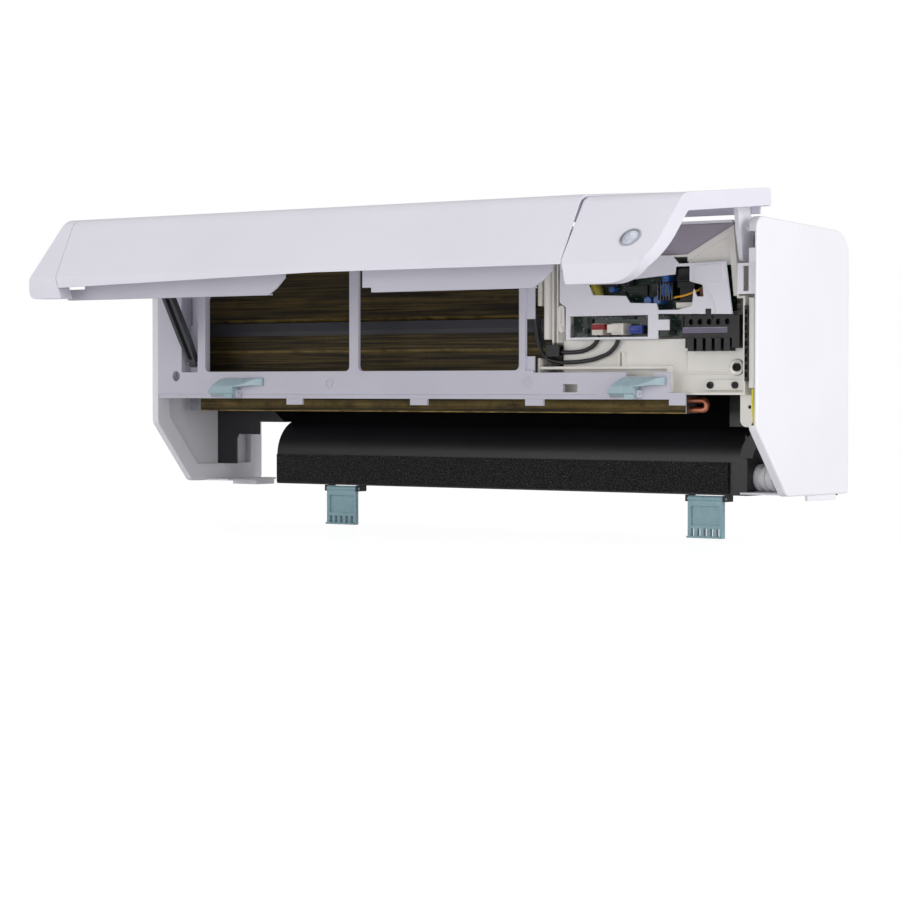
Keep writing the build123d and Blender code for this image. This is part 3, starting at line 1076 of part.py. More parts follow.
with BuildPart() as panel_left_cap:
    end_moulding(PANEL_LINE, CAP_OUTLINE, CAP_RADII)
    clear_side(-1)
finish(panel_left_cap, "panel_left_cap")

with BuildPart() as sensor_fascia:
    end_moulding(FASCIA_LINE, FASCIA_OUTLINE, FASCIA_RADII)
    clear_side(1)
    with BuildSketch(SENSOR.offset(-8.0)):
        Circle(SENSOR_R)
    extrude(amount=16.0, mode=Mode.SUBTRACT)
finish(sensor_fascia, "sensor_fascia")

with BuildPart() as front_panel:
    band(CAP_TOP_X, FASCIA_LOW_X, PANEL_LINE, LINE_RADII, 0, PANEL_WALL)
    from_front([(CAP_TOP_X - 9.0, PANEL_TOP + 1.0), (CAP_TOP_X + SEAM, PANEL_TOP + 1.0),
                (CAP_TOP_X + SEAM, SEAM_H), (CAP_LOW_X + SEAM, PANEL_LOW_H), (CAP_LOW_X, 190.0),
                (CAP_TOP_X - 9.0, 190.0)], [1.0, 1.0, 40.0, 1.0, 1.0, 1.0], 0, Mode.SUBTRACT)
    from_front([(FASCIA_LOW_X + 9.0, PANEL_TOP + 1.0), (FASCIA_TOP_X - SEAM, PANEL_TOP + 1.0),
                (FASCIA_TOP_X - SEAM, SEAM_H), (FASCIA_LOW_X - SEAM, PANEL_LOW_H),
                (FASCIA_LOW_X, 190.0), (FASCIA_LOW_X + 9.0, 190.0)],
               [1.0, 1.0, 40.0, 1.0, 1.0, 1.0], 0, Mode.SUBTRACT)
    # the lower edge rises from the left cap towards the middle
    from_front([(CAP_TOP_X, 190.0), (CAP_TOP_X, MAIN_LOW_H), (CAP_LOW_X, MAIN_LOW_H),
                (0.0, MAIN_LOW_H + 8.0), (FASCIA_LOW_X + 1.0, MAIN_LOW_H + 8.0),
                (FASCIA_LOW_X + 1.0, 190.0)], [1.0, 1.0, 1.0, 60.0, 1.0, 1.0], 0, Mode.SUBTRACT)
finish(front_panel, "front_panel")

SKIRT_LEFT = (-HALF_W + 14.5, MULLION_LEFT + 48.0)
SKIRT_RIGHT = (OPENING_RIGHT - 82.0, FASCIA_TOP_X - 20.0)
SKIRT_STEP = 12.0


def skirt(x0, x1):
    """Upright web behind the panel's face, stepped at its left end and slanted at its right."""
    rear_y = -SKIRT_DEPTH + SKIRT_T
    inner_front = inner_height(PANEL_LINE, 2, -SKIRT_DEPTH)
    inner_rear = inner_height(PANEL_LINE, 2, rear_y)
    prism_x(x0, x1, [(-SKIRT_DEPTH, SKIRT_LOW_H), (-SKIRT_DEPTH, inner_front),
                     (rear_y, inner_rear), (rear_y, SKIRT_LOW_H)])
    block(x0, x0 + SKIRT_STEP, -SKIRT_DEPTH, rear_y, SKIRT_LOW_H, SKIRT_LOW_H + 5.0, Mode.SUBTRACT)
    plate_y(rear_y, -SKIRT_DEPTH,
            [(x1, SKIRT_LOW_H), (x1, SKIRT_LOW_H + 18.0), (x1 - SKIRT_STEP, SKIRT_LOW_H + 7.0),
             (x1 - 2 * SKIRT_STEP, SKIRT_LOW_H)], Mode.SUBTRACT)
    block(x0 + SKIRT_STEP, x1 - 2 * SKIRT_STEP, -SKIRT_DEPTH, -SKIRT_DEPTH + 8.0, SKIRT_LOW_H,
          SKIRT_LOW_H + 1.6)


with BuildPart() as inner_skirts:
    skirt(*SKIRT_LEFT)
    block(SKIRT_LEFT[0], CAP_LOW_X + PANEL_WALL, -SKIRT_DEPTH - 1.0, -SKIRT_DEPTH + 10.0,
          SKIRT_LOW_H + 12.0, 290.0, Mode.SUBTRACT)
    skirt(*SKIRT_RIGHT)
finish(inner_skirts, "inner_skirts")


def hinge_arm(side, line):
    """Flat arm under the panel with the pin that turns in the side panel."""
    pin_y, pin_h = HINGE
    root_front = pin_y - 24.0
    root_rear = PANEL_REAR[0] - PANEL_WALL - 1.0
    with BuildSketch(SIDE.offset(side * ARM_X)) as arm:
        with BuildLine():
            FilletPolyline((root_front, inner_height(line, 1, root_front)),
                           (root_rear, inner_height(line, 1, root_rear)),
                           (root_rear, pin_h + 11.5), (pin_y + 8.5, pin_h + 8.0),
                           (pin_y + 8.5, pin_h - 13.0), (pin_y, pin_h - 36.0),
                           (pin_y - 11.0, pin_h - 36.0), (pin_y - 18.0, pin_h - 7.0), close=True,
                           radius=[EDGE_R, EDGE_R, 2.0, 4.0, 8.0, 5.0, 5.0, 20.0])
        make_face()
    extrude(arm.sketch, amount=side * ARM_T)
    pin_from = side * (ARM_X + ARM_T)
    bar_x(pin_from, side * (WALL_X - 1.0), *HINGE, PIN_R)
    bar_x(pin_from, pin_from + side * 3.0, *HINGE, PIN_R + 3.0)


with BuildPart() as left_hinge_arm:
    hinge_arm(-1, PANEL_LINE)
finish(left_hinge_arm, "left_hinge_arm")

with BuildPart() as right_hinge_arm:
    hinge_arm(1, FASCIA_LINE)
finish(right_hinge_arm, "right_hinge_arm")

ROD_TOP_Y = ROD_PIVOT[0] - ROD_LENGTH * sin(radians(ROD_LEAN))
ROD_TOP_H = ROD_PIVOT[1] + ROD_LENGTH * cos(radians(ROD_LEAN))
CATCH_FRONT = ROD_TOP_Y - 15.7
CATCH_REAR = ROD_TOP_Y + 12.3

with BuildPart() as rod_catch:
    for side in (-1, 1):
        cheek_x = ROD_X + side * CHEEK_X
        prism_x(cheek_x, cheek_x + side * CHEEK_T,
                [(CATCH_FRONT, inner_height(PANEL_LINE, 1, CATCH_FRONT)),
                 (CATCH_REAR, inner_height(PANEL_LINE, 1, CATCH_REAR)),
                 (ROD_TOP_Y + 4.3, ROD_TOP_H + 1.0), (ROD_TOP_Y - 5.7, ROD_TOP_H + 1.0)])
    prism_x(ROD_X - CHEEK_X, ROD_X + CHEEK_X,
            [(CATCH_FRONT, inner_height(PANEL_LINE, 1, CATCH_FRONT)),
             (CATCH_REAR, inner_height(PANEL_LINE, 1, CATCH_REAR)),
             (CATCH_REAR, inner_height(PANEL_LINE, 1, CATCH_REAR) - 2.0),
             (CATCH_FRONT, inner_height(PANEL_LINE, 1, CATCH_FRONT) - 2.0)])
finish(rod_catch, "rod_catch")

with BuildPart() as sensor_ring:
    with BuildSketch(SENSOR.offset(-PANEL_WALL)):
        Circle(SENSOR_R)
        Circle(LENS_R, mode=Mode.SUBTRACT)
    extrude(amount=PANEL_WALL + 0.8)
    fillet(sensor_ring.edges().filter_by(GeomType.CIRCLE).group_by(SortBy.RADIUS)[-1]
           .sort_by(Axis.Y)[:1], radius=0.5)
finish(sensor_ring, "sensor_ring")

with BuildPart() as sensor_lens:
    with BuildSketch(Plane(origin=SENSOR.origin, x_dir=SENSOR.z_dir, z_dir=SENSOR.x_dir)):
        with BuildLine():
            Line((-PANEL_WALL, 0), (3.2, 0))
            ThreePointArc((3.2, 0), (2.1, LENS_R * 0.6), (-1.0, LENS_R))
            Line((-1.0, LENS_R), (-PANEL_WALL, LENS_R))
            Line((-PANEL_WALL, LENS_R), (-PANEL_WALL, 0))
        make_face()
    revolve(axis=Axis(SENSOR.origin, SENSOR.z_dir))
finish(sensor_lens, "sensor_lens")

with BuildPart() as sensor_board:
    with BuildSketch(SENSOR.offset(-PANEL_WALL - 1.6)):
        RectangleRounded(30.0, 24.0, 2.0)
    extrude(amount=1.6)
finish(sensor_board, "sensor_board")

# --------------------------------------------------------------------- prop rod
ROD_WALL = 1.8
ROD_HEAD = 8.0
UPRIGHT = Plane(origin=(ROD_X, ROD_PIVOT[0], BASE_Z + ROD_PIVOT[1]), x_dir=(1, 0, 0),
                z_dir=(0, -1, 0)).rotated((ROD_LEAN, 0, 0))

with BuildPart() as support_rod:
    with BuildSketch(UPRIGHT.offset(-ROD_T / 2)):
        with BuildLine():
            FilletPolyline((-ROD_FOOT_W / 2, -4.0), (ROD_FOOT_W / 2, -4.0), (ROD_W / 2, 30.0),
                           (ROD_W / 2, ROD_LENGTH), (-ROD_W / 2, ROD_LENGTH), (-ROD_W / 2, 30.0),
                           radius=[2.0, 2.0, 10.0, 3.0, 3.0, 10.0], close=True)
        make_face()
    extrude(amount=ROD_T)
    with BuildSketch(UPRIGHT.offset(-ROD_T / 2 + ROD_WALL)):
        with Locations((0, (6.0 + ROD_LENGTH - ROD_HEAD) / 2)):
            RectangleRounded(ROD_FOOT_W - 2 * ROD_WALL, ROD_LENGTH - ROD_HEAD - 6.0, 2.0)
    extrude(amount=ROD_T, mode=Mode.SUBTRACT)
    bar_x(ROD_X - ROD_W, ROD_X + ROD_W, *ROD_PIVOT, ROD_PIN_R + RUN_FIT, Mode.SUBTRACT)
finish(support_rod, "support_rod")

# --------------------------------------------------------------- release levers
LEVER_BACK = -BODY_D - GAP
LEVER_TOP_H = 123.5
LEVER_LIP = (LEVER_PIVOT[0] - 9.5, 114.5)       # front edge of the lever's upper face
ARCH_H = LEVER_PIVOT[1] + 7.0                   # underside of the wing beside the hinge


def frame_lever(x, width):
    """Release lever on the frame's bar, hinged along its left half, with an arched wing."""
    pin_y, pin_h = LEVER_PIVOT
    hinged = width * LEVER_HINGE_SHARE
    upper = [(LEVER_LIP[0] + 0.7, ARCH_H), LEVER_LIP, (pin_y - 3.5, LEVER_TOP_H - 1.5),
             (pin_y + 1.0, LEVER_TOP_H), (LEVER_BACK, LEVER_TOP_H)]
    prism_x(x, x + hinged,
            [(LEVER_BACK, pin_h + 0.5), (pin_y + 2.0, pin_h - 2.8), (pin_y - 1.5, pin_h - 3.4),
             (pin_y - 8.0, pin_h + 0.5), *upper])
    prism_x(x + hinged, x + width, [(LEVER_BACK, ARCH_H), *upper])
    # slanted left end, and the wing that rises and sweeps back to its right end
    plate_y(LEVER_BACK, LEVER_LIP[0],
            [(x, pin_h + 3.0), (x + 16.0, LEVER_TOP_H), (x, LEVER_TOP_H)], Mode.SUBTRACT)
    plate_y(LEVER_BACK, LEVER_LIP[0],
            [(x + hinged, ARCH_H), (x + width - 12.0, ARCH_H + 2.0), (x + width, ARCH_H + 2.0),
             (x + width, ARCH_H)], Mode.SUBTRACT)
    with BuildSketch(Plane.XY.offset(BASE_Z + pin_h - 4.0)) as swept_back:
        with BuildLine():
            ThreePointArc((x + 0.45 * width, LEVER_LIP[0]), (x + 0.82 * width, pin_y - 5.0),
                          (x + width, LEVER_BACK - 3.0))
            Polyline((x + width, LEVER_BACK - 3.0), (x + width, LEVER_LIP[0] - 1.0),
                     (x + 0.45 * width, LEVER_LIP[0] - 1.0), (x + 0.45 * width, LEVER_LIP[0]))
        make_face()
    extrude(swept_back.sketch, amount=LEVER_TOP_H - pin_h + 5.0, mode=Mode.SUBTRACT)
    tab_x = x + 0.3 * width
    block(tab_x, tab_x + 12.0, pin_y - 6.0, pin_y - 3.0, pin_h - 5.4, pin_h)
    reach = LUG_T + GAP
    bar_x(x - reach, x + hinged + reach, *LEVER_PIVOT, SMALL_PIN_R)


with BuildPart() as left_frame_lever:
    frame_lever(*LEVERS[0])
finish(left_frame_lever, "left_frame_lever")

with BuildPart() as right_frame_lever:
    frame_lever(*LEVERS[1])
finish(right_frame_lever, "right_frame_lever")

# ---------------------------------------------------------------- hanging clips
CLIP_T = 5.0
BARREL_R = 3.4
COMB_RIBS = 5


def hanging_clip(x):
    """Clip that hangs from the outlet lip: recessed face, comb at its lower end."""
    front = CLIP_PIVOT[0] - CLIP_T / 2
    low_h = CLIP_PIVOT[1] - CLIP_LENGTH
    bar_x(x, x + CLIP_W, *CLIP_PIVOT, BARREL_R)
    block(x, x + CLIP_W, front, front + CLIP_T, low_h, CLIP_PIVOT[1])
    block(x + 4.0, x + CLIP_W - 4.0, front, front + 2.2, low_h + 14.0, CLIP_PIVOT[1] - 8.0,
          Mode.SUBTRACT)
    pitch = (CLIP_W - 4.0) / COMB_RIBS
    for tooth in range(COMB_RIBS):
        tooth_x = x + 4.0 + tooth * pitch
        block(tooth_x, tooth_x + pitch - 4.0, front, front + CLIP_T, low_h + 2.0, low_h + 10.0,
              Mode.SUBTRACT)
    block(x, x + CLIP_W, front - 2.5, front, low_h, low_h + 2.0)
    reach = LUG_T + GAP
    bar_x(x - reach, x + CLIP_W + reach, *CLIP_PIVOT, SMALL_PIN_R)


with BuildPart() as left_hanging_clip:
    hanging_clip(CLIP_LEFT)
finish(left_hanging_clip, "left_hanging_clip")

with BuildPart() as right_hanging_clip:
    hanging_clip(CLIP_RIGHT)
finish(right_hanging_clip, "right_hanging_clip")

# ------------------------------------------------------------- pipes and leads
HOSE_END = INNER_X - 0.5
HOSE_PLAIN_R = HOSE_R - 1.8
RIB_ROUND = 1.0
GAS_R = 4.75
LIQUID_R = 3.2
PIPE_X = HALF_W - 37.5
PIPE_BEND = 18.0
PIPE_START = 66.0       # distance of the pipes' start from their slab's foot

with BuildPart() as drain_hose:
    bar_x(HOSE_LEFT, HOSE_END, -HOSE_DEPTH, HOSE_H, HOSE_PLAIN_R)
    ribs = int((HOSE_END - HOSE_LEFT - 8.0) // HOSE_RIB)
    for rib in range(ribs):
        rib_x = HOSE_LEFT + 4.0 + rib * HOSE_RIB
        ring = SIDE.offset(rib_x)
        steps = [(0.0, HOSE_PLAIN_R), (RIB_ROUND, HOSE_R), (HOSE_RIB / 2, HOSE_R),
                 (HOSE_RIB / 2 + RIB_ROUND, HOSE_PLAIN_R)]
        for shift, radius in steps:
            with BuildSketch(ring.offset(shift)):
                with Locations((-HOSE_DEPTH, HOSE_H)):
                    Circle(radius)
        loft(ruled=True)
    bar_x(HOSE_LEFT, HOSE_END, -HOSE_DEPTH, HOSE_H, HOSE_BORE_R, Mode.SUBTRACT)
finish(drain_hose, "drain_hose")


def cord(points, radius, ease=0.45):
    """Round tube along straight runs joined by tangent arcs; prints the arcs' radii.

    points are (x, y, height). Each arc takes ease times its shorter run.
    """
    route = [Vector(x, y, BASE_Z + h) for x, y, h in points]
    runs = [end - start for start, end in zip(route, route[1:])]
    radii = []
    for before, after in zip(runs, runs[1:]):
        half_turn = radians(before.get_angle(after)) / 2
        radii.append(ease * min(before.length, after.length) / tan(half_turn))
    print("arc radii", [round(arc, 1) for arc in radii])
    with BuildLine() as line:
        FilletPolyline(*route, radius=radii)
    with BuildSketch(Plane(origin=route[0], z_dir=runs[0])) as section:
        Circle(radius)
    sweep(section.sketch, path=line.wire())
    print("length", round(line.wire().length, 1))


def pipe(points, radius):
    """Hard pipe along straight runs with bends of one radius."""
    route = [Vector(x, y, BASE_Z + h) for x, y, h in points]
    with BuildLine() as line:
        FilletPolyline(*route, radius=PIPE_BEND)
    with BuildSketch(Plane(origin=route[0], z_dir=route[1] - route[0])) as section:
        Circle(radius)
    sweep(section.sketch, path=line.wire())


PIPE_END = -12.0


def pipe_route(slab, x, low_h):
    """Points of a pipe from near a slab's top, out to the right, down and to the rear wall."""
    y, h = along_slab(slab, PIPE_START)
    return [(HX_RIGHT + END_PLATE_T, y, h), (x, y, h), (x, y, low_h), (x, PIPE_END, low_h)]


GAS_ROUTE = pipe_route(REAR_SLAB, PIPE_X, 50.0)
LIQUID_ROUTE = pipe_route(FRONT_SLAB, PIPE_X + 12.0, 56.0)

with BuildPart() as gas_pipe:
    pipe(GAS_ROUTE, GAS_R)
finish(gas_pipe, "gas_pipe")

with BuildPart() as liquid_pipe:
    pipe(LIQUID_ROUTE, LIQUID_R)
finish(liquid_pipe, "liquid_pipe")

HARNESS_A = [(134.0, -171.0, 198.0), (134.5, -171.0, 178.0), (139.5, -171.5, 158.0),
             (149.0, -172.0, 143.5), (168.0, -172.0, 139.2), (190.0, -172.0, 139.5),
             (212.0, -172.0, 142.0), (232.0, -172.0, 148.5), (241.5, -172.0, 157.5),
             (244.5, -172.0, 167.4)]
HARNESS_B = [(134.5, -164.5, 190.0), (135.0, -164.5, 173.0), (142.0, -167.0, 159.5),
             (157.0, -171.5, 151.5), (180.0, -172.0, 149.5), (199.0, -172.0, 151.0),
             (213.0, -172.0, 157.0), (219.0, -172.0, 167.0)]

with BuildPart() as harness_lead_a:
    cord(HARNESS_A, LEAD_D / 2)
finish(harness_lead_a, "harness_lead_a", EBOX)

with BuildPart() as harness_lead_b:
    cord(HARNESS_B, LEAD_D / 2)
finish(harness_lead_b, "harness_lead_b", EBOX)

YELLOW_ROUTE = [(309.0, -160.6, 204.0), (309.5, -168.0, 204.5), (317.0, -175.5, 206.0),
                (330.0, -176.8, 207.5), (343.0, -175.5, 211.5), (351.0, -170.0, 217.0),
                (352.5, -160.8, 218.5)]

with BuildPart() as yellow_leads:
    cord(YELLOW_ROUTE, YELLOW_D / 2)
finish(yellow_leads, "yellow_leads", EBOX)

EARTH_ROUTE = [(409.6, -171.0, 111.4), (409.6, -171.0, 101.0), (409.8, -170.0, 84.0),
               (409.0, -163.0, 62.0), (407.5, -147.0, 44.0), (405.5, -122.0, 37.0),
               (404.5, -88.0, 37.0), (404.0, -54.0, 42.0), (403.5, -29.0, 58.0),
               (403.5, -10.6, 76.0)]

with BuildPart() as earth_wire:
    cord(EARTH_ROUTE, EARTH_D / 2)
finish(earth_wire, "earth_wire", EBOX)

GUIDE_CENTRE = (SCROLL_RIGHT + 26.0, 38.0)
GUIDE_R = 31.0
GUIDE_BORE_R = 15.0
GUIDE_BACK = 88.0

with BuildPart() as side_bracket:
    with BuildSketch(FRONT.offset(GUIDE_BACK)) as guide:
        with Locations(GUIDE_CENTRE):
            Circle(GUIDE_R)
            Circle(GUIDE_BORE_R, mode=Mode.SUBTRACT)
            Rectangle(GUIDE_R, GUIDE_R, align=(Align.MAX, Align.MIN), mode=Mode.INTERSECT)
    extrude(guide.sketch, amount=4.0)
    block(SCROLL_RIGHT, SCROLL_RIGHT + 2.0, -GUIDE_BACK - 2.0, BACK_FACE, GUIDE_CENTRE[1],
          GUIDE_CENTRE[1] + 24.0)
finish(side_bracket, "side_bracket")
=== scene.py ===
"""Studio scene of a wall-hung indoor unit, opened for service.

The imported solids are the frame. This script dresses them, adds the small
pieces that are only seen, and sets the floor, the lights and the camera.
The unit's sizes and places are millimetres, with heights above the casing's
lower edge, and `at` turns them into metres in the frame's own axes: +X right,
-Y out of the wall. The studio's places and the finishes' depths are metres.
"""

import logging
import math
from dataclasses import dataclass
from enum import Enum

import bpy
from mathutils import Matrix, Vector


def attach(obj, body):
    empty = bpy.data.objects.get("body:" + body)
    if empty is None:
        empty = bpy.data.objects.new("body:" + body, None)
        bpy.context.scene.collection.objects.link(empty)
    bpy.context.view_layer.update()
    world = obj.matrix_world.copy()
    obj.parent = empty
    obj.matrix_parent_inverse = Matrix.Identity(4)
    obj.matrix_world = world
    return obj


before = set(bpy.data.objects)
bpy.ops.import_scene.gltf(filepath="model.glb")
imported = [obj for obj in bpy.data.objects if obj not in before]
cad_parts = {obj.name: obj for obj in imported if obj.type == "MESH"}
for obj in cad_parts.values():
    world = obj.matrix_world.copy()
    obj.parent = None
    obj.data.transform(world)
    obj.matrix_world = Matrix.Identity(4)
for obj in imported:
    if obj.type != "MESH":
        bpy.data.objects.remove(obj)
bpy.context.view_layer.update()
LOG = logging.getLogger("indoor_unit")

MM = 0.001
BASE_Z = -0.150         # the casing's lower edge, below the mounting plate's centre
SMOOTH_ANGLE = math.radians(35.0)       # edges flatter than this are shaded smooth
FACES_FRONT = -0.99     # a face whose normal's Y lies under this looks to the front

Colour = tuple[float, float, float, float]


def at(x: float, y: float, h: float) -> Vector:
    """Return a point given in millimetres, with h above the casing's lower edge.

    Args:
        x: Width position in millimetres.
        y: Depth position in millimetres, negative in front of the wall.
        h: Height above the casing's lower edge in millimetres.

    Returns:
        The point in metres in the frame's axes.
    """
    return Vector((x * MM, y * MM, BASE_Z + h * MM))


def rgba(red: float, green: float, blue: float) -> Colour:
    """Return a display colour in 0 to 255 steps as linear values.

    Args:
        red: Red as seen on the screen.
        green: Green as seen on the screen.
        blue: Blue as seen on the screen.

    Returns:
        The linear colour with full alpha.
    """
    def linear(step: float) -> float:
        """Return one channel as linear light."""
        share = step / 255.0
        return share / 12.92 if share <= 0.04045 else ((share + 0.055) / 1.055) ** 2.4

    return (linear(red), linear(green), linear(blue), 1.0)


NONE = rgba(0, 0, 0)            # the two ends of a mask
FULL = rgba(255, 255, 255)


# ------------------------------------------------------------------- finishes
class NodeTree:
    """Small helper that adds and joins nodes of one material."""

    def __init__(self, name: str) -> None:
        """Make the material and keep its shader.

        Args:
            name: Name of the new material.
        """
        self.material = bpy.data.materials.new(name)
        self.material.use_nodes = True
        self.nodes = self.material.node_tree.nodes
        self.links = self.material.node_tree.links
        self.shader = self.nodes["Principled BSDF"]
        self.coords = self.nodes.new("ShaderNodeTexCoord")

    def add(self, kind: str, **values: object) -> bpy.types.Node:
        """Add a node and set its properties or input values.

        Args:
            kind: Blender's node type.
            values: Property values, or input values by socket name with _ for a space.

        Returns:
            The new node.
        """
        node = self.nodes.new(kind)
        for key, value in values.items():
            socket = node.inputs.get(key.replace("_", " "))
            if hasattr(node, key) and socket is None:
                setattr(node, key, value)
            else:
                socket.default_value = value
        return node

    def join(self, start: bpy.types.NodeSocket, end: bpy.types.NodeSocket) -> None:
        """Link two sockets."""
        self.links.new(start, end)

    def place(self, scale: tuple[float, float, float] = (1, 1, 1),
              turn: tuple[float, float, float] = (0, 0, 0)) -> bpy.types.NodeSocket:
        """Give object coordinates, stretched and turned.

        Args:
            scale: Stretch along the three axes.
            turn: Rotation in radians.

        Returns:
            The vector socket.
        """
        mapping = self.add("ShaderNodeMapping")
        mapping.inputs["Scale"].default_value = scale
        mapping.inputs["Rotation"].default_value = turn
        self.join(self.coords.outputs["Object"], mapping.inputs["Vector"])
        return mapping.outputs["Vector"]

    def noise(self, scale: float, detail: float = 3.0, roughness: float = 0.5,
              vector: bpy.types.NodeSocket | None = None) -> bpy.types.NodeSocket:
        """Add a noise texture on object coordinates.

        Args:
            scale: Cells per metre.
            detail: Number of octaves.
            roughness: Weight of the finer octaves.
            vector: Coordinates, or None for plain object coordinates.

        Returns:
            The factor socket.
        """
        node = self.add("ShaderNodeTexNoise", Scale=scale, Detail=detail, Roughness=roughness)
        self.join(vector or self.coords.outputs["Object"], node.inputs["Vector"])
        return node.outputs["Fac"]

    def ramp(self, factor: bpy.types.NodeSocket,
             stops: list[tuple[float, Colour]]) -> bpy.types.NodeSocket:
        """Colour a factor by a ramp.

        Args:
            factor: Socket that drives the ramp.
            stops: Positions and colours, in order.

        Returns:
            The colour socket.
        """
        node = self.add("ShaderNodeValToRGB")
        ramp = node.color_ramp
        ramp.elements[0].position, ramp.elements[0].color = stops[0]
        ramp.elements[1].position, ramp.elements[1].color = stops[-1]
        for place, colour in stops[1:-1]:
            ramp.elements.new(place).color = colour
        self.join(factor, node.inputs["Fac"])
        return node.outputs["Color"]

    def span(self, factor: bpy.types.NodeSocket, low: float, high: float) -> bpy.types.NodeSocket:
        """Map a factor of 0 to 1 to a range.

        Args:
            factor: Socket with values of 0 to 1.
            low: Value for 0.
            high: Value for 1.

        Returns:
            The mapped value socket.
        """
        node = self.add("ShaderNodeMapRange")
        node.inputs["To Min"].default_value = low
        node.inputs["To Max"].default_value = high
        self.join(factor, node.inputs["Value"])
        return node.outputs["Result"]

    def mix(self, factor: bpy.types.NodeSocket | float, first: bpy.types.NodeSocket | Colour,
            second: bpy.types.NodeSocket | Colour, blend: str = "MIX") -> bpy.types.NodeSocket:
        """Mix two colours.

        Args:
            factor: Share of the second colour.
            first: First colour or socket.
            second: Second colour or socket.
            blend: Blender's blend mode.

        Returns:
            The mixed colour socket.
        """
        node = self.add("ShaderNodeMix", data_type="RGBA", blend_type=blend)
        for socket, value in ((node.inputs[0], factor), (node.inputs[6], first),
                              (node.inputs[7], second)):
            if isinstance(value, bpy.types.NodeSocket):
                self.join(value, socket)
            else:
                socket.default_value = value
        return node.outputs[2]

    def bump(self, height: bpy.types.NodeSocket, depth: float, strength: float = 1.0,
             edge: float = 0.0) -> None:
        """Drive the shader's normal by a height, over softened edges.

        Args:
            height: Height factor of 0 to 1.
            depth: Real depth in metres of a factor of 1.
            strength: Strength of the effect.
            edge: Radius in metres over which sharp edges are softened.
        """
        node = self.add("ShaderNodeBump", Strength=strength, Distance=depth)
        self.join(height, node.inputs["Height"])
        if edge > 0.0:
            soft = self.add("ShaderNodeBevel", samples=4, Radius=edge)
            self.join(soft.outputs["Normal"], node.inputs["Normal"])
        self.join(node.outputs["Normal"], self.shader.inputs["Normal"])

    def colour(self, value: bpy.types.NodeSocket) -> None:
        """Drive the base colour."""
        self.join(value, self.shader.inputs["Base Color"])

    def rough(self, value: bpy.types.NodeSocket) -> None:
        """Drive the roughness."""
        self.join(value, self.shader.inputs["Roughness"])


@dataclass(frozen=True)
class MouldedPlastic:
    """Moulded plastic with a fine eroded grain and slightly uneven colour."""

    name: str
    tone: Colour
    roughness: float = 0.42
    unevenness: float = 0.03
    grain: float = 2500.0
    grain_depth: float = 0.00003
    coat: float = 0.0
    edge: float = 0.0006
    darkening: float = 2.5      # how much darker the clouds are, in parts of the unevenness
    cloud_scale: float = 9.0
    polish_scale: float = 60.0
    grain_strength: float = 0.35

    def make(self) -> bpy.types.Material:
        """Build the material.

        Returns:
            The new material.
        """
        tree = NodeTree(self.name)
        dim = 1.0 - self.unevenness * self.darkening
        dark = tuple(channel * dim for channel in self.tone[:3]) + (1.0,)
        cloud = tree.noise(self.cloud_scale, 4.0)
        tree.colour(tree.ramp(cloud, [(0.30, dark), (0.62, self.tone)]))
        tree.rough(tree.span(tree.noise(self.polish_scale, 3.0), self.roughness - 0.06,
                             self.roughness + 0.07))
        tree.shader.inputs["Coat Weight"].default_value = self.coat
        tree.bump(tree.noise(self.grain, 2.0), self.grain_depth, self.grain_strength, self.edge)
        return tree.material


@dataclass(frozen=True)
class Metal:
    """Bare metal with fine scratches and patches of dulled surface."""

    name: str
    tone: Colour
    tarnish: Colour
    roughness: float = 0.32
    stretch: tuple[float, float, float] = (40.0, 400.0, 400.0)
    patch_scale: float = 55.0
    scratch_depth: float = 0.00004
    edge: float = 0.0003

    def make(self) -> bpy.types.Material:
        """Build the material.

        Returns:
            The new material.
        """
        tree = NodeTree(self.name)
        patches = tree.noise(self.patch_scale, 5.0, 0.6)
        tree.colour(tree.ramp(patches, [(0.35, self.tarnish), (0.60, self.tone)]))
        tree.shader.inputs["Metallic"].default_value = 1.0
        scratch = tree.noise(1.0, 4.0, 0.6, tree.place(self.stretch))
        tree.rough(tree.span(scratch, self.roughness - 0.1, self.roughness + 0.18))
        tree.bump(scratch, self.scratch_depth, 0.5, self.edge)
        return tree.material


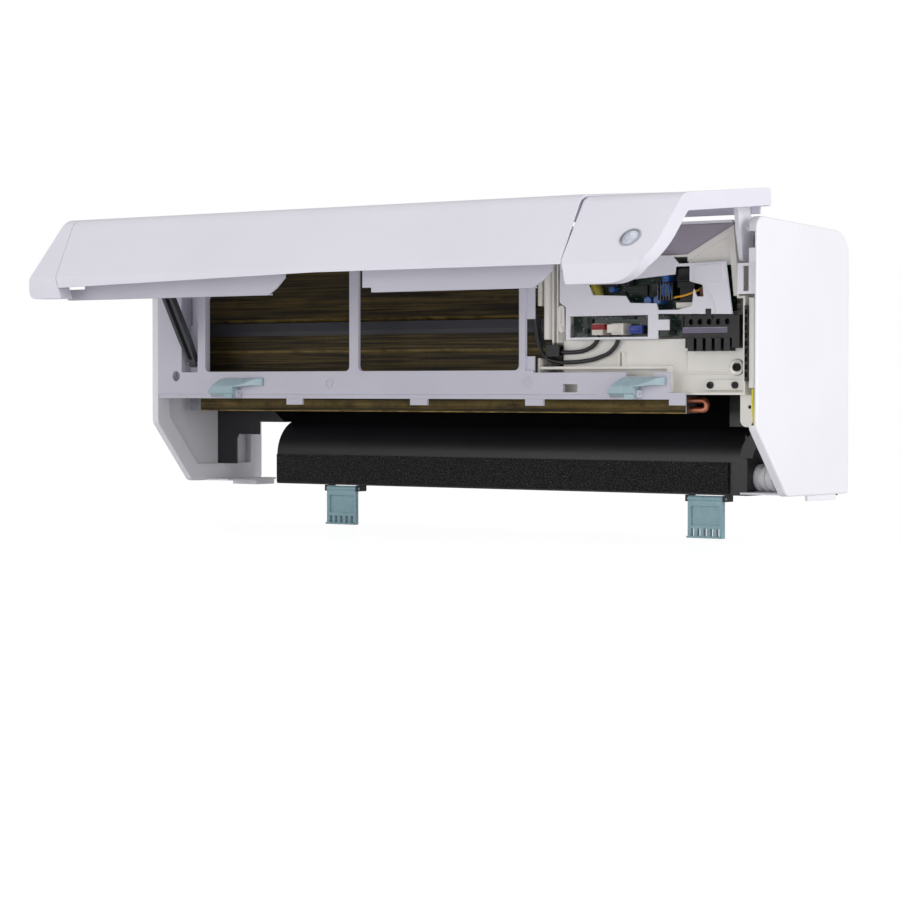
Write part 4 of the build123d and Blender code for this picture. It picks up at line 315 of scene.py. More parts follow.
@dataclass(frozen=True)
class CoilFins:
    """Gold-coated fins seen edge on: nearly black from painted shade between the fins, with dull
    gold bands along the coil that are painted highlights.

    The bands of painted highlight lie at given heights, each a height in millimetres above the
    casing's lower edge, a half width and a brightness.
    """

    name: str
    gold: Colour
    deep: Colour
    bands: tuple[tuple[float, float, float], ...]
    reach: tuple[float, float] = (80.0, 280.0)      # heights between which the bands lie
    sway: float = 0.0012        # how far a band wanders up and down
    pitch: float = 0.0026
    fin_depth: float = 0.0005

    def make(self) -> bpy.types.Material:
        """Build the material.

        Returns:
            The new material.
        """
        tree = NodeTree(self.name)
        split = tree.add("ShaderNodeSeparateXYZ")
        tree.join(tree.coords.outputs["Object"], split.inputs["Vector"])
        rise = tree.add("ShaderNodeMapRange")
        low, high = self.reach
        rise.inputs["From Min"].default_value = BASE_Z + low * MM
        rise.inputs["From Max"].default_value = BASE_Z + high * MM
        wander = tree.add("ShaderNodeMath", operation="MULTIPLY_ADD")
        tree.join(tree.noise(1.0, 3.0, 0.6, tree.place((14.0, 5.0, 30.0))), wander.inputs[0])
        wander.inputs[1].default_value = self.sway
        tree.join(split.outputs["Z"], wander.inputs[2])
        tree.join(wander.outputs["Value"], rise.inputs["Value"])
        # each band is a painted highlight where light catches the fins, with a painted brightness
        stops = [(0.0, NONE)]
        for height, half, glow in self.bands:
            for place, value in ((height - half, 0.0), (height, glow), (height + half, 0.0)):
                share = min(max((place - low) / (high - low), 0.0), 1.0)
                stops.append((share, (value, value, value, 1.0)))
        stops.append((1.0, NONE))
        lines = tree.ramp(rise.outputs["Result"], stops)
        streak = tree.noise(1.0, 5.0, 0.6, tree.place((7.0, 30.0, 420.0)))
        patch = tree.noise(1.0, 4.0, 0.6, tree.place((45.0, 20.0, 60.0)))
        streaks = tree.ramp(streak, [(0.42, NONE), (0.72, FULL)])
        # the deep colour is painted shade between the fins, with faint dull gold streaks in it
        dull = tree.mix(tree.span(streaks, 0.0, 0.22), self.deep, self.gold)
        patches = tree.ramp(patch, [(0.30, rgba(110, 110, 110)), (0.60, FULL)])
        # noise patches break up the painted highlights
        patchy_highlight = tree.mix(1.0, lines, patches, "MULTIPLY")
        tree.colour(tree.mix(patchy_highlight, dull, self.gold))
        fins = tree.add("ShaderNodeTexWave", wave_type="BANDS", bands_direction="X")
        fins.inputs["Scale"].default_value = 2 * math.pi / self.pitch / 20.0
        fins.inputs["Distortion"].default_value = 0.3
        tree.join(tree.coords.outputs["Object"], fins.inputs["Vector"])
        tree.shader.inputs["Metallic"].default_value = 0.3
        tree.shader.inputs["Specular IOR Level"].default_value = 0.3
        tree.rough(tree.span(streak, 0.45, 0.65))
        tree.bump(fins.outputs["Fac"], self.fin_depth, 0.45)
        return tree.material


@dataclass(frozen=True)
class OpenFoam:
    """Black open-cell foam with pale dust specks."""

    name: str
    tone: Colour
    speck: Colour
    cell_scale: float = 420.0
    cell_depth: float = 0.0016
    dust_scale: float = 900.0

    def make(self) -> bpy.types.Material:
        """Build the material.

        Returns:
            The new material.
        """
        tree = NodeTree(self.name)
        cell = tree.add("ShaderNodeTexVoronoi", Scale=self.cell_scale)
        tree.join(tree.coords.outputs["Object"], cell.inputs["Vector"])
        dust = tree.noise(self.dust_scale, 2.0, 0.7)
        tree.colour(tree.ramp(dust, [(0.52, self.tone), (0.74, self.speck)]))
        tree.shader.inputs["Roughness"].default_value = 0.95
        tree.bump(cell.outputs["Distance"], self.cell_depth, 1.0)
        return tree.material


@dataclass(frozen=True)
class CircuitBoard:
    """Green board with tracks and solder points."""

    name: str
    lacquer: Colour
    track: Colour
    solder: Colour
    track_scale: float = 90.0
    track_width: float = 0.03
    shade: float = 0.6          # every second field's lacquer beside the first
    point_scale: float = 260.0
    point_depth: float = 0.0003

    def make(self) -> bpy.types.Material:
        """Build the material.

        Returns:
            The new material.
        """
        tree = NodeTree(self.name)
        shaded = tuple(channel * self.shade for channel in self.lacquer[:3]) + (1.0,)
        fields = tree.add("ShaderNodeTexBrick", offset=0.5)
        fields.inputs["Scale"].default_value = self.track_scale
        fields.inputs["Mortar Size"].default_value = self.track_width
        fields.inputs["Color1"].default_value = self.lacquer
        fields.inputs["Color2"].default_value = shaded
        fields.inputs["Mortar"].default_value = self.track
        tree.join(tree.place((1, 1, 1), (math.pi / 2, 0, 0)), fields.inputs["Vector"])
        dots = tree.add("ShaderNodeTexVoronoi", Scale=self.point_scale)
        tree.join(tree.coords.outputs["Object"], dots.inputs["Vector"])
        spot = tree.ramp(dots.outputs["Distance"], [(0.14, FULL), (0.20, NONE)])
        tree.colour(tree.mix(spot, fields.outputs["Color"], self.solder))
        tree.shader.inputs["Roughness"].default_value = 0.38
        tree.shader.inputs["Coat Weight"].default_value = 0.3
        tree.bump(dots.outputs["Distance"], self.point_depth, 0.6)
        return tree.material


@dataclass(frozen=True)
class StripedSleeve:
    """Yellow wire sleeve with a green stripe along it.

    The wire runs mostly upright, so the stripe's side follows the wire's own
    line, given as its place across at a few heights.
    """

    name: str
    yellow: Colour
    green: Colour
    across: tuple[float, float] = (0.79, 0.61)
    line: tuple[tuple[float, float, float], ...] = (
        (38.0, 405.8, -127.0), (44.0, 407.5, -147.0), (62.0, 409.0, -163.0),
        (84.0, 409.8, -170.0), (101.0, 409.6, -171.0), (112.0, 409.6, -171.0))
    stripe_from: float = 0.0002     # how far past the middle line the green begins

    def make(self) -> bpy.types.Material:
        """Build the material.

        Returns:
            The new material.
        """
        tree = NodeTree(self.name)
        split = tree.add("ShaderNodeSeparateXYZ")
        tree.join(tree.coords.outputs["Object"], split.inputs["Vector"])
        low, high = self.line[0][0], self.line[-1][0]
        spread = [across_place(self.across, x, y) for _, x, y in self.line]
        least, most = min(spread), max(spread)
        rise = tree.add("ShaderNodeMapRange")
        rise.inputs["From Min"].default_value = BASE_Z + low * MM
        rise.inputs["From Max"].default_value = BASE_Z + high * MM
        tree.join(split.outputs["Z"], rise.inputs["Value"])
        stops = []
        for (height, _, _), place in zip(self.line, spread):
            share = (place - least) / (most - least)
            stops.append(((height - low) / (high - low), (share, share, share, 1.0)))
        middle = tree.span(tree.ramp(rise.outputs["Result"], stops), least * MM, most * MM)
        side = tree.add("ShaderNodeVectorMath", operation="DOT_PRODUCT")
        side.inputs[1].default_value = (*self.across, 0.0)
        tree.join(tree.coords.outputs["Object"], side.inputs[0])
        offset = tree.add("ShaderNodeMath", operation="SUBTRACT")
        tree.join(side.outputs["Value"], offset.inputs[0])
        tree.join(middle, offset.inputs[1])
        green = tree.add("ShaderNodeMath", operation="GREATER_THAN")
        tree.join(offset.outputs["Value"], green.inputs[0])
        green.inputs[1].default_value = self.stripe_from
        tree.colour(tree.mix(green.outputs["Value"], self.yellow, self.green))
        tree.rough(tree.span(tree.noise(300.0), 0.35, 0.5))
        tree.bump(tree.noise(1200.0), 0.00003, 0.4)
        return tree.material


def across_place(across: tuple[float, float], x: float, y: float) -> float:
    """Return how far a point lies along the stripe's dividing direction."""
    return across[0] * x + across[1] * y


@dataclass(frozen=True)
class SensorDome:
    """Milky dome with small lens facets."""

    name: str
    tone: Colour
    shade: Colour
    facet_scale: float = 170.0
    facet_depth: float = 0.0008

    def make(self) -> bpy.types.Material:
        """Build the material.

        Returns:
            The new material.
        """
        tree = NodeTree(self.name)
        facet = tree.add("ShaderNodeTexVoronoi", Scale=self.facet_scale, feature="F1")
        tree.join(tree.coords.outputs["Object"], facet.inputs["Vector"])
        clouds = tree.ramp(tree.noise(70.0, 2.0), [(0.4, NONE), (0.62, FULL)])
        tree.colour(tree.mix(clouds, self.shade, self.tone))
        tree.shader.inputs["Roughness"].default_value = 0.12
        tree.shader.inputs["Coat Weight"].default_value = 0.8
        tree.shader.inputs["Subsurface Weight"].default_value = 0.1
        tree.bump(facet.outputs["Distance"], self.facet_depth, 0.6)
        return tree.material


class Finish(Enum):
    """Every finish on the unit, each made once when it is first used."""

    CASE_WHITE = MouldedPlastic("case_white", rgba(243, 242, 248), 0.40, 0.01, coat=0.12)
    PANEL_WHITE = MouldedPlastic("panel_white", rgba(232, 230, 240), 0.34, 0.012, coat=0.2)
    # painted shade: the frame is white plastic, darkened to how it looks in shade
    FRAME_PAINTED_SHADE = MouldedPlastic("frame_painted_shade", rgba(206, 204, 216), 0.45, 0.02)
    # painted shade: the inner skirts are white plastic, darkened to how they look in shadow under
    # the panel
    SKIRT_PAINTED_SHADE = MouldedPlastic("skirt_painted_shade", rgba(205, 203, 214), 0.5, 0.02)
    IVORY = MouldedPlastic("ivory_plastic", rgba(243, 240, 233), 0.40, 0.05)
    COVER_WHITE = MouldedPlastic("cover_white", rgba(235, 233, 240), 0.42, 0.015)
    DARK_CASE = MouldedPlastic("dark_case", rgba(30, 29, 33), 0.36, 0.10, 1800.0, 0.00005)
    BLACK = MouldedPlastic("black_plastic", rgba(10, 10, 12), 0.42, 0.12)
    ROD_GREY = MouldedPlastic("rod_grey", rgba(66, 67, 72), 0.38, 0.08)
    TEAL = MouldedPlastic("teal_plastic", rgba(166, 190, 198), 0.28, 0.03, coat=0.3)
    CLIP_TEAL = MouldedPlastic("clip_teal", rgba(152, 188, 198), 0.28, 0.04, coat=0.3)
    HOSE_WHITE = MouldedPlastic("hose_white", rgba(240, 240, 244), 0.5, 0.02)
    # painted shade: the shield is light plastic, and this mauve grey is how it looks in shade
    SHIELD_PAINTED_SHADE = MouldedPlastic("shield_painted_shade", rgba(172, 164, 176), 0.36, 0.06)
    RING_GREY = MouldedPlastic("ring_grey", rgba(176, 176, 186), 0.3, 0.03)
    PLUG_BROWN = MouldedPlastic("plug_brown", rgba(104, 70, 46), 0.4, 0.08)
    FIN_GREY = Metal("fin_grey", rgba(120, 122, 130), rgba(70, 72, 78), 0.4)
    STRIP_GREY = MouldedPlastic("strip_grey", rgba(52, 52, 58), 0.5, 0.1)
    LABEL_GREY = MouldedPlastic("label_grey", rgba(118, 112, 132), 0.6, 0.1)
    SLEEVE_BLACK = MouldedPlastic("sleeve_black", rgba(46, 46, 50), 0.38, 0.36)
    SLEEVE_YELLOW = MouldedPlastic("sleeve_yellow", rgba(230, 165, 30), 0.4, 0.05)
    RELAY_BLUE = MouldedPlastic("relay_blue", rgba(22, 50, 150), 0.35, 0.06, coat=0.2)
    CHIP_BLACK = MouldedPlastic("chip_black", rgba(26, 30, 30), 0.4, 0.15)
    CAP_BLUE = MouldedPlastic("cap_blue", rgba(40, 95, 170), 0.3, 0.1, coat=0.4)
    FILM_YELLOW = MouldedPlastic("film_yellow", rgba(225, 210, 95), 0.3, 0.12, coat=0.4)
    PLUG_WHITE = MouldedPlastic("plug_white", rgba(235, 230, 220), 0.4, 0.05)
    PLUG_RED = MouldedPlastic("plug_red", rgba(150, 22, 30), 0.4, 0.08)
    GALVANISED = Metal("galvanised", rgba(178, 180, 184), rgba(140, 142, 148), 0.38)
    STEEL = Metal("zinc_steel", rgba(205, 202, 198), rgba(150, 146, 140), 0.28)
    BLACK_STEEL = Metal("black_steel", rgba(60, 60, 62), rgba(30, 30, 32), 0.3)
    COPPER = Metal("copper", rgba(214, 140, 112), rgba(160, 92, 66), 0.28, (300.0, 60.0, 60.0))
    # painted shade between the fins gives the black base; the gold bands are painted highlights
    FINS = CoilFins("coil_fins", rgba(186, 158, 88), rgba(30, 24, 12),
                    ((86.0, 2.6, 1.0), (94.0, 7.0, 0.34), (155.0, 2.4, 0.42), (191.0, 2.2, 0.72),
                     (212.0, 6.0, 0.12)))
    FOAM = OpenFoam("black_foam", rgba(14, 13, 14), rgba(104, 100, 104))
    BOARD = CircuitBoard("circuit_board", rgba(10, 28, 22), rgba(26, 66, 50), rgba(150, 162, 152))
    EARTH = StripedSleeve("earth_sleeve", rgba(236, 222, 40), rgba(40, 130, 70))
    DOME = SensorDome("sensor_dome", rgba(226, 228, 238), rgba(176, 180, 198))


_made: dict[Finish, bpy.types.Material] = {}


def dress(piece: bpy.types.Object, finish: Finish) -> None:
    """Give a piece one finish all over.

    Args:
        piece: Object whose material slots are filled.
        finish: The finish it takes.
    """
    if finish not in _made:
        _made[finish] = finish.value.make()
    if not piece.material_slots:
        piece.data.materials.append(_made[finish])
    for slot in piece.material_slots:
        slot.material = _made[finish]


def dress_nodes(finish: Finish, *names: str) -> None:
    """Give CAD nodes a finish.

    Args:
        finish: The finish they take.
        names: Names of the nodes.
    """
    for name in names:
        dress(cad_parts[name], finish)
        LOG.info("dressed %s as %s", name, finish.name)


# ------------------------------------------------------------------ modelling
def prism(name: str, points: list[Vector], push: Vector, bevel: float = 0.0,
          segments: int = 2) -> bpy.types.Object:
    """Draw an outline point by point, fill it and extrude it.

    Args:
        name: Name of the new piece.
        points: Corners of the flat outline, in order.
        push: How far and which way the filled outline is extruded.
        bevel: Width of the rounding of all edges, in metres.
        segments: Steps in the rounding.

    Returns:
        The finished piece, with its place in its mesh.
    """
    bpy.ops.object.select_all(action="DESELECT")
    bpy.ops.mesh.primitive_plane_add(size=MM, location=points[0])
    piece = bpy.context.object
    piece.name = name
    piece.data.name = name
    bpy.ops.object.transform_apply(location=True, rotation=True, scale=True)
    bpy.ops.object.mode_set(mode="EDIT")
    bpy.ops.mesh.select_all(action="SELECT")
    bpy.ops.mesh.merge(type="CENTER")
    for start, end in zip(points, points[1:]):
        bpy.ops.mesh.extrude_vertices_move(TRANSFORM_OT_translate={"value": end - start})
    bpy.ops.mesh.select_all(action="SELECT")
    bpy.ops.mesh.edge_face_add()
    bpy.ops.mesh.select_all(action="SELECT")
    bpy.ops.mesh.extrude_region_move(TRANSFORM_OT_translate={"value": push})
    bpy.ops.mesh.select_all(action="SELECT")
    bpy.ops.mesh.normals_make_consistent(inside=False)
    if bevel > 0.0:
        bpy.ops.mesh.bevel(offset=bevel, segments=segments, affect="EDGES")
    bpy.ops.object.mode_set(mode="OBJECT")
    bpy.ops.object.shade_smooth_by_angle(angle=SMOOTH_ANGLE)
    return piece


def plate(name: str, outline: list[tuple[float, float]], back: float, front: float,
          bevel: float = 0.3) -> bpy.types.Object:
    """Make a plate that faces the front.

    Args:
        name: Name of the new piece.
        outline: Corners as (x, height) in millimetres.
        back: Depth of its rear face in millimetres.
        front: Depth of its front face in millimetres.
        bevel: Width of the rounding in millimetres.

    Returns:
        The finished piece.
    """
    corners = [at(x, back, h) for x, h in outline]
    return prism(name, corners, Vector((0.0, (front - back) * MM, 0.0)), bevel * MM)


def brick(name: str, x: tuple[float, float], h: tuple[float, float], back: float, front: float,
          bevel: float = 0.4) -> bpy.types.Object:
    """Make a rounded block between two widths, two heights and two depths.

    Args:
        name: Name of the new piece.
        x: Left and right in millimetres.
        h: Lower and upper height in millimetres.
        back: Depth of its rear face in millimetres.
        front: Depth of its front face in millimetres.
        bevel: Width of the rounding in millimetres.

    Returns:
        The finished piece.
    """
    return plate(name, [(x[0], h[0]), (x[1], h[0]), (x[1], h[1]), (x[0], h[1])], back, front, bevel)


def recess(piece: bpy.types.Object, margin: float, depth: float) -> None:
    """Inset the largest face that looks to the front and push it in.

    Args:
        piece: Piece whose front face is worked.
        margin: Width of the edge that stays, in millimetres.
        depth: How far the face is pushed back, in millimetres.
    """
    bpy.ops.object.select_all(action="DESELECT")
    bpy.context.view_layer.objects.active = piece
    piece.select_set(True)
    front = max((face for face in piece.data.polygons if face.normal.y < FACES_FRONT),
                key=lambda face: face.area)
    for part in (*piece.data.vertices, *piece.data.edges, *piece.data.polygons):
        part.select = False
    front.select = True
    bpy.ops.object.mode_set(mode="EDIT")
    bpy.ops.mesh.select_mode(type="FACE")
    bpy.ops.mesh.inset(thickness=margin * MM)
    bpy.ops.transform.translate(value=(0.0, depth * MM, 0.0))
    bpy.ops.mesh.select_mode(type="VERT")
    bpy.ops.object.mode_set(mode="OBJECT")


def join(name: str, pieces: list[bpy.types.Object]) -> bpy.types.Object:
    """Join pieces of one moulding into a single object.

    Args:
        name: Name of the joined piece.
        pieces: Pieces to join, the first one is kept.

    Returns:
        The joined piece.
    """
    bpy.ops.object.select_all(action="DESELECT")
    for piece in pieces:
        piece.select_set(True)
    bpy.context.view_layer.objects.active = pieces[0]
    bpy.ops.object.join()
    pieces[0].name = name
    return pieces[0]


def fit(piece: bpy.types.Object, finish: Finish, body: str) -> None:
    """Dress a new piece and let it ride on its body.

    Args:
        piece: The finished piece.
        finish: Finish that it takes.
        body: Name of the body that carries it.
    """
    dress(piece, finish)
    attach(piece, body)
    LOG.info("made %s on %s", piece.name, body)


# ---------------------------------------------------------------- studio
@dataclass
class Studio:
    """Camera, lights, floor and world."""

    camera_place: tuple[float, float, float] = (1.9331, -2.6310, -0.038)
    heading: float = math.radians(37.9)
    pitch: float = math.radians(1.257)
    lens: float = 113.0
    sensor: float = 36.0
    fill: float = 0.46          # strength of the surround where the camera does not see it
    floor_h: float = -52.0
    floor_size: float = 14.0
    floor_tone: Colour = (0.86, 0.86, 0.87, 1.0)
    floor_glow: float = 1.13
    floor_gloss: float = 0.08   # share of the faint reflection
    floor_shadow: float = 0.10  # share of the lit surface, which takes the shadow

    def camera(self) -> None:
        """Set the camera at the photograph's angle."""
        data = bpy.data.cameras.new("camera")
        data.lens = self.lens
        data.sensor_width = self.sensor
        camera = bpy.data.objects.new("camera", data)
        bpy.context.scene.collection.objects.link(camera)
        camera.location = self.camera_place
        look = Vector((-math.sin(self.heading) * math.cos(self.pitch),
                       math.cos(self.heading) * math.cos(self.pitch), -math.sin(self.pitch)))
        camera.rotation_euler = look.to_track_quat("-Z", "Y").to_euler()
        bpy.context.scene.camera = camera

    def lamp(self, name: str, place: tuple[float, float, float], aim: tuple[float, float, float],
             size: float, power: float) -> None:
        """Add a square area lamp.

        Args:
            name: Name of the lamp.
            place: Where it hangs.
            aim: Point it faces.
            size: Edge length in metres.
            power: Watts.
        """
        data = bpy.data.lights.new(name, "AREA")
        data.size = size
        data.energy = power
        lamp = bpy.data.objects.new(name, data)
        bpy.context.scene.collection.objects.link(lamp)
        lamp.location = place
        lamp.rotation_euler = (Vector(aim) - Vector(place)).to_track_quat("-Z", "Y").to_euler()

    def lights(self) -> None:
        """Add the soft lamps."""
        middle = (0.0, -0.15, 0.0)
        self.lamp("top_soft", (0.1, -0.7, 1.9), middle, 1.8, 9.5)
        self.lamp("right_soft", (2.6, -0.45, 0.30), middle, 1.6, 33.0)
        self.lamp("front_soft", (0.2, -2.6, 0.4), middle, 1.8, 6.5)
        self.lamp("low_front", (-0.7, -2.0, -0.1), middle, 1.4, 9.0)
        self.lamp("low_right", (1.0, -1.9, -0.40), (0.28, -0.17, 0.03), 0.8, 4.5)

    def world(self) -> None:
        """Give an even pale surround that is white behind the object."""
        world = bpy.data.worlds.new("studio")
        bpy.context.scene.world = world
        world.use_nodes = True
        nodes, links = world.node_tree.nodes, world.node_tree.links
        back = nodes["Background"]
        path = nodes.new("ShaderNodeLightPath")
        seen = nodes.new("ShaderNodeMath")
        seen.operation = "MAXIMUM"
        links.new(path.outputs["Is Camera Ray"], seen.inputs[0])
        links.new(path.outputs["Is Transmission Ray"], seen.inputs[1])
        level = nodes.new("ShaderNodeMapRange")
        level.inputs["To Min"].default_value = self.fill
        level.inputs["To Max"].default_value = 1.0
        links.new(seen.outputs["Value"], level.inputs["Value"])
        back.inputs["Color"].default_value = (1.0, 1.0, 1.0, 1.0)
        links.new(level.outputs["Result"], back.inputs["Strength"])

    def floor(self) -> None:
        """Add the pale floor with a faint reflection and a soft shadow."""
        bpy.ops.object.select_all(action="DESELECT")
        bpy.ops.mesh.primitive_plane_add(size=self.floor_size, location=at(0, 0, self.floor_h))
        floor = bpy.context.object
        floor.name = "floor"
        bpy.ops.object.transform_apply(location=True, rotation=True, scale=True)
        tree = NodeTree("floor_white")
        tree.shader.inputs["Base Color"].default_value = self.floor_tone
        tree.shader.inputs["Roughness"].default_value = 0.6
        glow = tree.add("ShaderNodeEmission", Strength=self.floor_glow)
        gloss = tree.add("ShaderNodeBsdfGlossy", Roughness=0.12)
        blend = tree.add("ShaderNodeMixShader", Fac=self.floor_gloss)
        tree.join(glow.outputs["Emission"], blend.inputs[1])
        tree.join(gloss.outputs["BSDF"], blend.inputs[2])
        soft = tree.add("ShaderNodeMixShader", Fac=self.floor_shadow)
        tree.join(blend.outputs["Shader"], soft.inputs[1])
        tree.join(tree.shader.outputs["BSDF"], soft.inputs[2])
        path = tree.add("ShaderNodeLightPath")
        choose = tree.add("ShaderNodeMixShader")
        tree.join(path.outputs["Is Camera Ray"], choose.inputs["Fac"])
        tree.join(tree.shader.outputs["BSDF"], choose.inputs[1])
        tree.join(soft.outputs["Shader"], choose.inputs[2])
        tree.join(choose.outputs["Shader"], tree.nodes["Material Output"].inputs["Surface"])
        floor.data.materials.append(tree.material)

    def build(self) -> None:
        """Set up the whole studio."""
        self.camera()
        self.lights()
        self.world()
        self.floor()
        bpy.context.scene.view_settings.view_transform = "Standard"
        LOG.info("studio ready")


# ------------------------------------------------------------ sub-assemblies
@dataclass
class Casing:
    """Side panels, grille, frame, rear casing and their small parts."""

    def build(self) -> None:
        """Dress the casing's nodes."""
        dress_nodes(Finish.CASE_WHITE, "left_side_panel", "right_side_panel", "top_grille")
        # the frame's grey finish is painted shade on white plastic
        dress_nodes(Finish.FRAME_PAINTED_SHADE, "front_frame")
        dress_nodes(Finish.DARK_CASE, "rear_casing", "side_bracket")
        dress_nodes(Finish.FOAM, "foam_strip")
        dress_nodes(Finish.STEEL, "frame_screws", "rod_pin")
        dress_nodes(Finish.GALVANISED, "mounting_plate")


@dataclass
class Panel:
    """Raised front panel with its mouldings, sensor and arms."""

    face_top: tuple[float, float] = (-322.0, 300.0)     # depth and height on the face's back
    face_low: tuple[float, float] = (-380.5, 226.0)
    strip_w: float = 7.0
    strip_t: float = 1.0
    left_seam: tuple[float, float] = (-406.8, -376.0)
    right_seam: tuple[float, float] = (306.4, 322.5)

    def backing(self, name: str, seam: tuple[float, float]) -> None:
        """Add the grey strip that closes a seam from behind, its grey being painted shade in the
        seam's gap.

        Args:
            name: Name of the strip.
            seam: Width position of the seam at the face's top and at its foot.
        """
        (top_y, top_h), (low_y, low_h) = self.face_top, self.face_low
        half = self.strip_w / 2
        corners = [at(seam[0] - half, top_y, top_h), at(seam[0] + half, top_y, top_h),
                   at(seam[1] + half, low_y, low_h), at(seam[1] - half, low_y, low_h)]
        inwards = Vector((0.0, top_h - low_h, low_y - top_y)).normalized() * self.strip_t * MM
        # ring grey here paints the shade in the seam's gap
        fit(prism(name, corners, inwards), Finish.RING_GREY, "panel")

    def build(self) -> None:
        """Dress the panel's nodes and close its seams."""
        self.backing("left_seam_strip", self.left_seam)
        self.backing("right_seam_strip", self.right_seam)
        dress_nodes(Finish.PANEL_WHITE, "front_panel", "panel_left_cap", "sensor_fascia")
        dress_nodes(Finish.CASE_WHITE, "left_hinge_arm", "right_hinge_arm", "rod_catch")
        # the skirts' grey finish is painted shade on white plastic
        dress_nodes(Finish.SKIRT_PAINTED_SHADE, "inner_skirts")
        dress_nodes(Finish.RING_GREY, "sensor_ring")
        dress_nodes(Finish.DOME, "sensor_lens")
        dress_nodes(Finish.BOARD, "sensor_board")
        dress_nodes(Finish.ROD_GREY, "support_rod")


@dataclass
class Latches:
    """Release levers on the frame and clips under the outlet lip."""

    def build(self) -> None:
        """Dress the latches."""
        dress_nodes(Finish.TEAL, "left_frame_lever", "right_frame_lever")
        dress_nodes(Finish.CLIP_TEAL, "left_hanging_clip", "right_hanging_clip")


@dataclass
class CoilAndFan:
    """Heat exchanger, pipes, fan, motor and hose."""

    def build(self) -> None:
        """Dress the coil, the fan and the pipes."""
        dress_nodes(Finish.FINS, "hx_front_upper", "hx_front_lower", "hx_rear")
        dress_nodes(Finish.STRIP_GREY, "hx_joint_strip")
        dress_nodes(Finish.GALVANISED, "hx_end_plates")
        dress_nodes(Finish.COPPER, "hx_return_bends", "gas_pipe", "liquid_pipe")
        dress_nodes(Finish.BLACK, "fan_impeller", "fan_bearing")
        dress_nodes(Finish.STEEL, "fan_shaft")
        dress_nodes(Finish.GALVANISED, "fan_motor")
        dress_nodes(Finish.DARK_CASE, "motor_bracket")
        dress_nodes(Finish.HOSE_WHITE, "drain_hose")


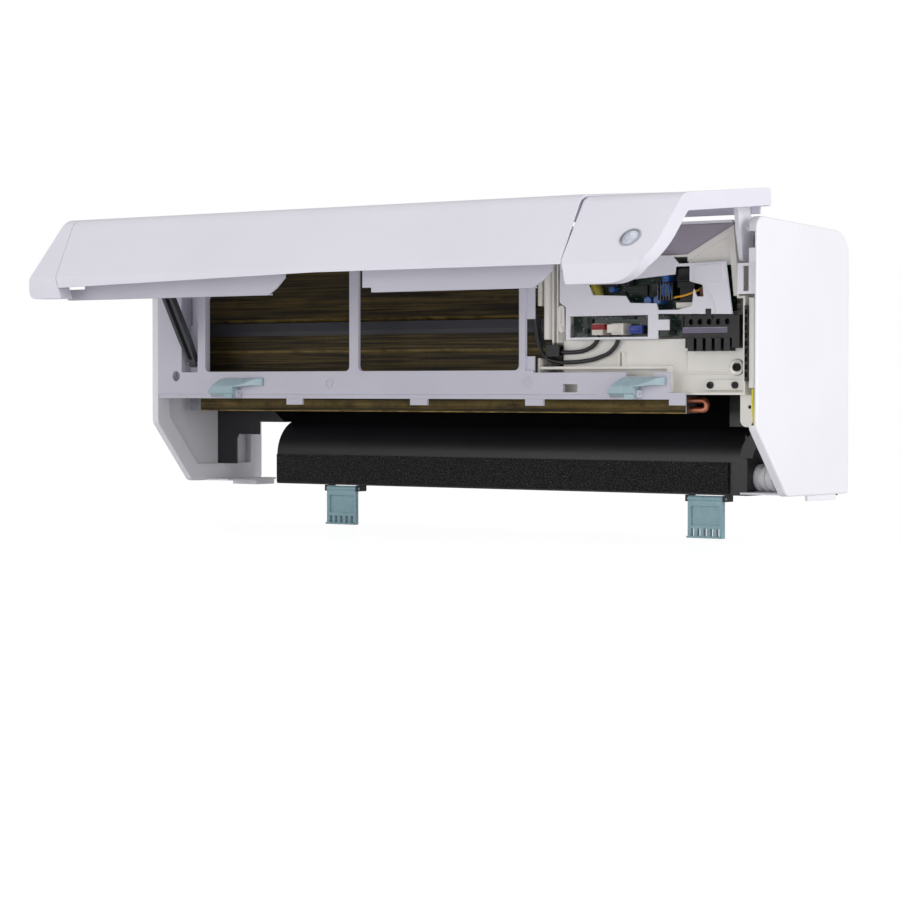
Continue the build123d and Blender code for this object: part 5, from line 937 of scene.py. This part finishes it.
@dataclass
class ElectricalBox:
    """Tray, cover, board, terminal block and leads."""

    board: float = -160.0       # front of the circuit board
    deep: float = -176.0        # fronts of the tall parts on it
    fin_count: int = 6
    fin_t: float = 1.4
    sink_x: tuple[float, float] = (295.0, 314.0)
    sink_h: tuple[float, float] = (203.0, 222.0)
    boss: tuple[float, float] = (388.5, 133.3)
    boss_r: float = 8.3
    boss_front: float = -169.7
    washer_t: float = 0.7
    washer_rim: float = 2.4
    washer_step: float = 0.35
    strip: tuple[float, float, float] = (329.0, 382.5, 174.4)     # left, right and top
    # height and depth of the pale sliver that paints the strip's edge highlight
    strip_highlight_h: float = 0.6
    strip_highlight_t: float = 0.3
    strip_front: float = -178.5
    cap_rim: float = 1.2        # edge that stays round the sunk front of a plug or cap
    cap_step: float = 0.7

    def heat_sink(self) -> None:
        """Make the finned heat sink beside the transformer."""
        base = brick("heat_sink_base", self.sink_x, self.sink_h, self.board - 1.0, self.board - 4.0)
        pitch = (self.sink_x[1] - self.sink_x[0] - self.fin_t) / (self.fin_count - 1)
        fins = [base]
        for count in range(self.fin_count):
            left = self.sink_x[0] + count * pitch
            fins.append(brick("heat_sink_fin", (left, left + self.fin_t), self.sink_h,
                              self.board - 3.5, self.deep, 0.2))
        fit(join("heat_sink", fins), Finish.FIN_GREY, "casing")

    def washer(self) -> None:
        """Make the bright washer that lies round the black screw's head."""
        x, h = self.boss
        bpy.ops.object.select_all(action="DESELECT")
        bpy.ops.mesh.primitive_cylinder_add(vertices=48, radius=self.boss_r * MM,
                                            depth=self.washer_t * MM,
                                            location=at(x, self.boss_front, h),
                                            rotation=(math.pi / 2, 0.0, 0.0))
        ring = bpy.context.object
        ring.name = "bright_washer"
        ring.data.name = ring.name
        bpy.ops.object.transform_apply(location=True, rotation=True, scale=True)
        recess(ring, self.washer_rim, self.washer_step)
        bpy.ops.object.shade_smooth_by_angle(angle=SMOOTH_ANGLE)
        fit(ring, Finish.STEEL, "casing")

    def strip_highlight(self) -> None:
        """Make the painted highlight along the upper edge of the terminal block's bare strip."""
        left, right, high = self.strip
        # pale ring grey paints the highlight where the strip's upper edge catches the light
        edge = brick("strip_highlight", (left, right), (high - self.strip_highlight_h, high),
                     self.strip_front, self.strip_front - self.strip_highlight_t, 0.1)
        fit(edge, Finish.RING_GREY, "casing")

    def plugs(self) -> None:
        """Make the plugs and the taller parts that stand on the board."""
        parts = [
            ("red_plug", (213.0, 229.0), (173.6, 179.4), -178.0, Finish.PLUG_RED),
            ("white_plug", (233.0, 249.0), (170.0, 179.0), -178.0, Finish.PLUG_WHITE),
            ("blue_relay_cap", (260.0, 277.0), (169.0, 177.6), -177.0, Finish.RELAY_BLUE),
            ("transformer_cap", (319.5, 340.0), (222.5, 236.0), self.deep, Finish.BLACK),
            ("white_header", (318.5, 343.0), (194.5, 200.5), self.deep, Finish.PLUG_WHITE),
            ("brown_plug", (347.5, 356.5), (206.5, 216.0), self.deep, Finish.PLUG_BROWN),
            ("black_driver", (284.0, 297.5), (206.0, 222.0), -172.0, Finish.BLACK),
            ("black_filter", (222.0, 243.0), (219.0, 231.0), -173.0, Finish.BLACK),
            ("small_coil", (246.0, 256.0), (219.0, 228.0), -171.0, Finish.STRIP_GREY),
            ("blue_varistor", (301.0, 308.0), (222.5, 229.0), -175.0, Finish.CAP_BLUE),
        ]
        for name, x, h, front, finish in parts:
            part = brick(name, x, h, self.board - 0.2, front, 0.5)
            recess(part, self.cap_rim, self.cap_step)
            fit(part, finish, "casing")

    def build(self) -> None:
        """Dress the electrical box and stand its parts on the board."""
        self.heat_sink()
        self.plugs()
        dress_nodes(Finish.IVORY, "ebox_tray", "thermistor_clip", "earth_bracket")
        dress_nodes(Finish.COVER_WHITE, "ebox_cover")
        # the rain shield's mauve grey is painted shade on light plastic
        dress_nodes(Finish.SHIELD_PAINTED_SHADE, "ebox_rain_shield")
        dress_nodes(Finish.BOARD, "main_pcb")
        dress_nodes(Finish.CHIP_BLACK, "pcb_components")
        dress_nodes(Finish.CAP_BLUE, "pcb_capacitors")
        dress_nodes(Finish.FILM_YELLOW, "film_capacitor")
        dress_nodes(Finish.BLACK, "pcb_transformer", "terminal_block", "cable_clamp", "side_gasket")
        dress_nodes(Finish.PLUG_WHITE, "pcb_connectors")
        dress_nodes(Finish.BLACK_STEEL, "terminal_screws", "tray_screws")
        self.washer()
        self.strip_highlight()
        dress_nodes(Finish.LABEL_GREY, "terminal_label")
        dress_nodes(Finish.SLEEVE_BLACK, "harness_lead_a", "harness_lead_b")
        dress_nodes(Finish.SLEEVE_YELLOW, "yellow_leads")
        dress_nodes(Finish.EARTH, "earth_wire")


def main() -> None:
    """Build the scene in order."""
    logging.basicConfig(level=logging.INFO, format="%(message)s")
    Studio().build()
    for part in (Casing(), Panel(), Latches(), CoilAndFan(), ElectricalBox()):
        part.build()
        LOG.info("built %s", type(part).__name__)


if __name__ == "__main__":
    main()
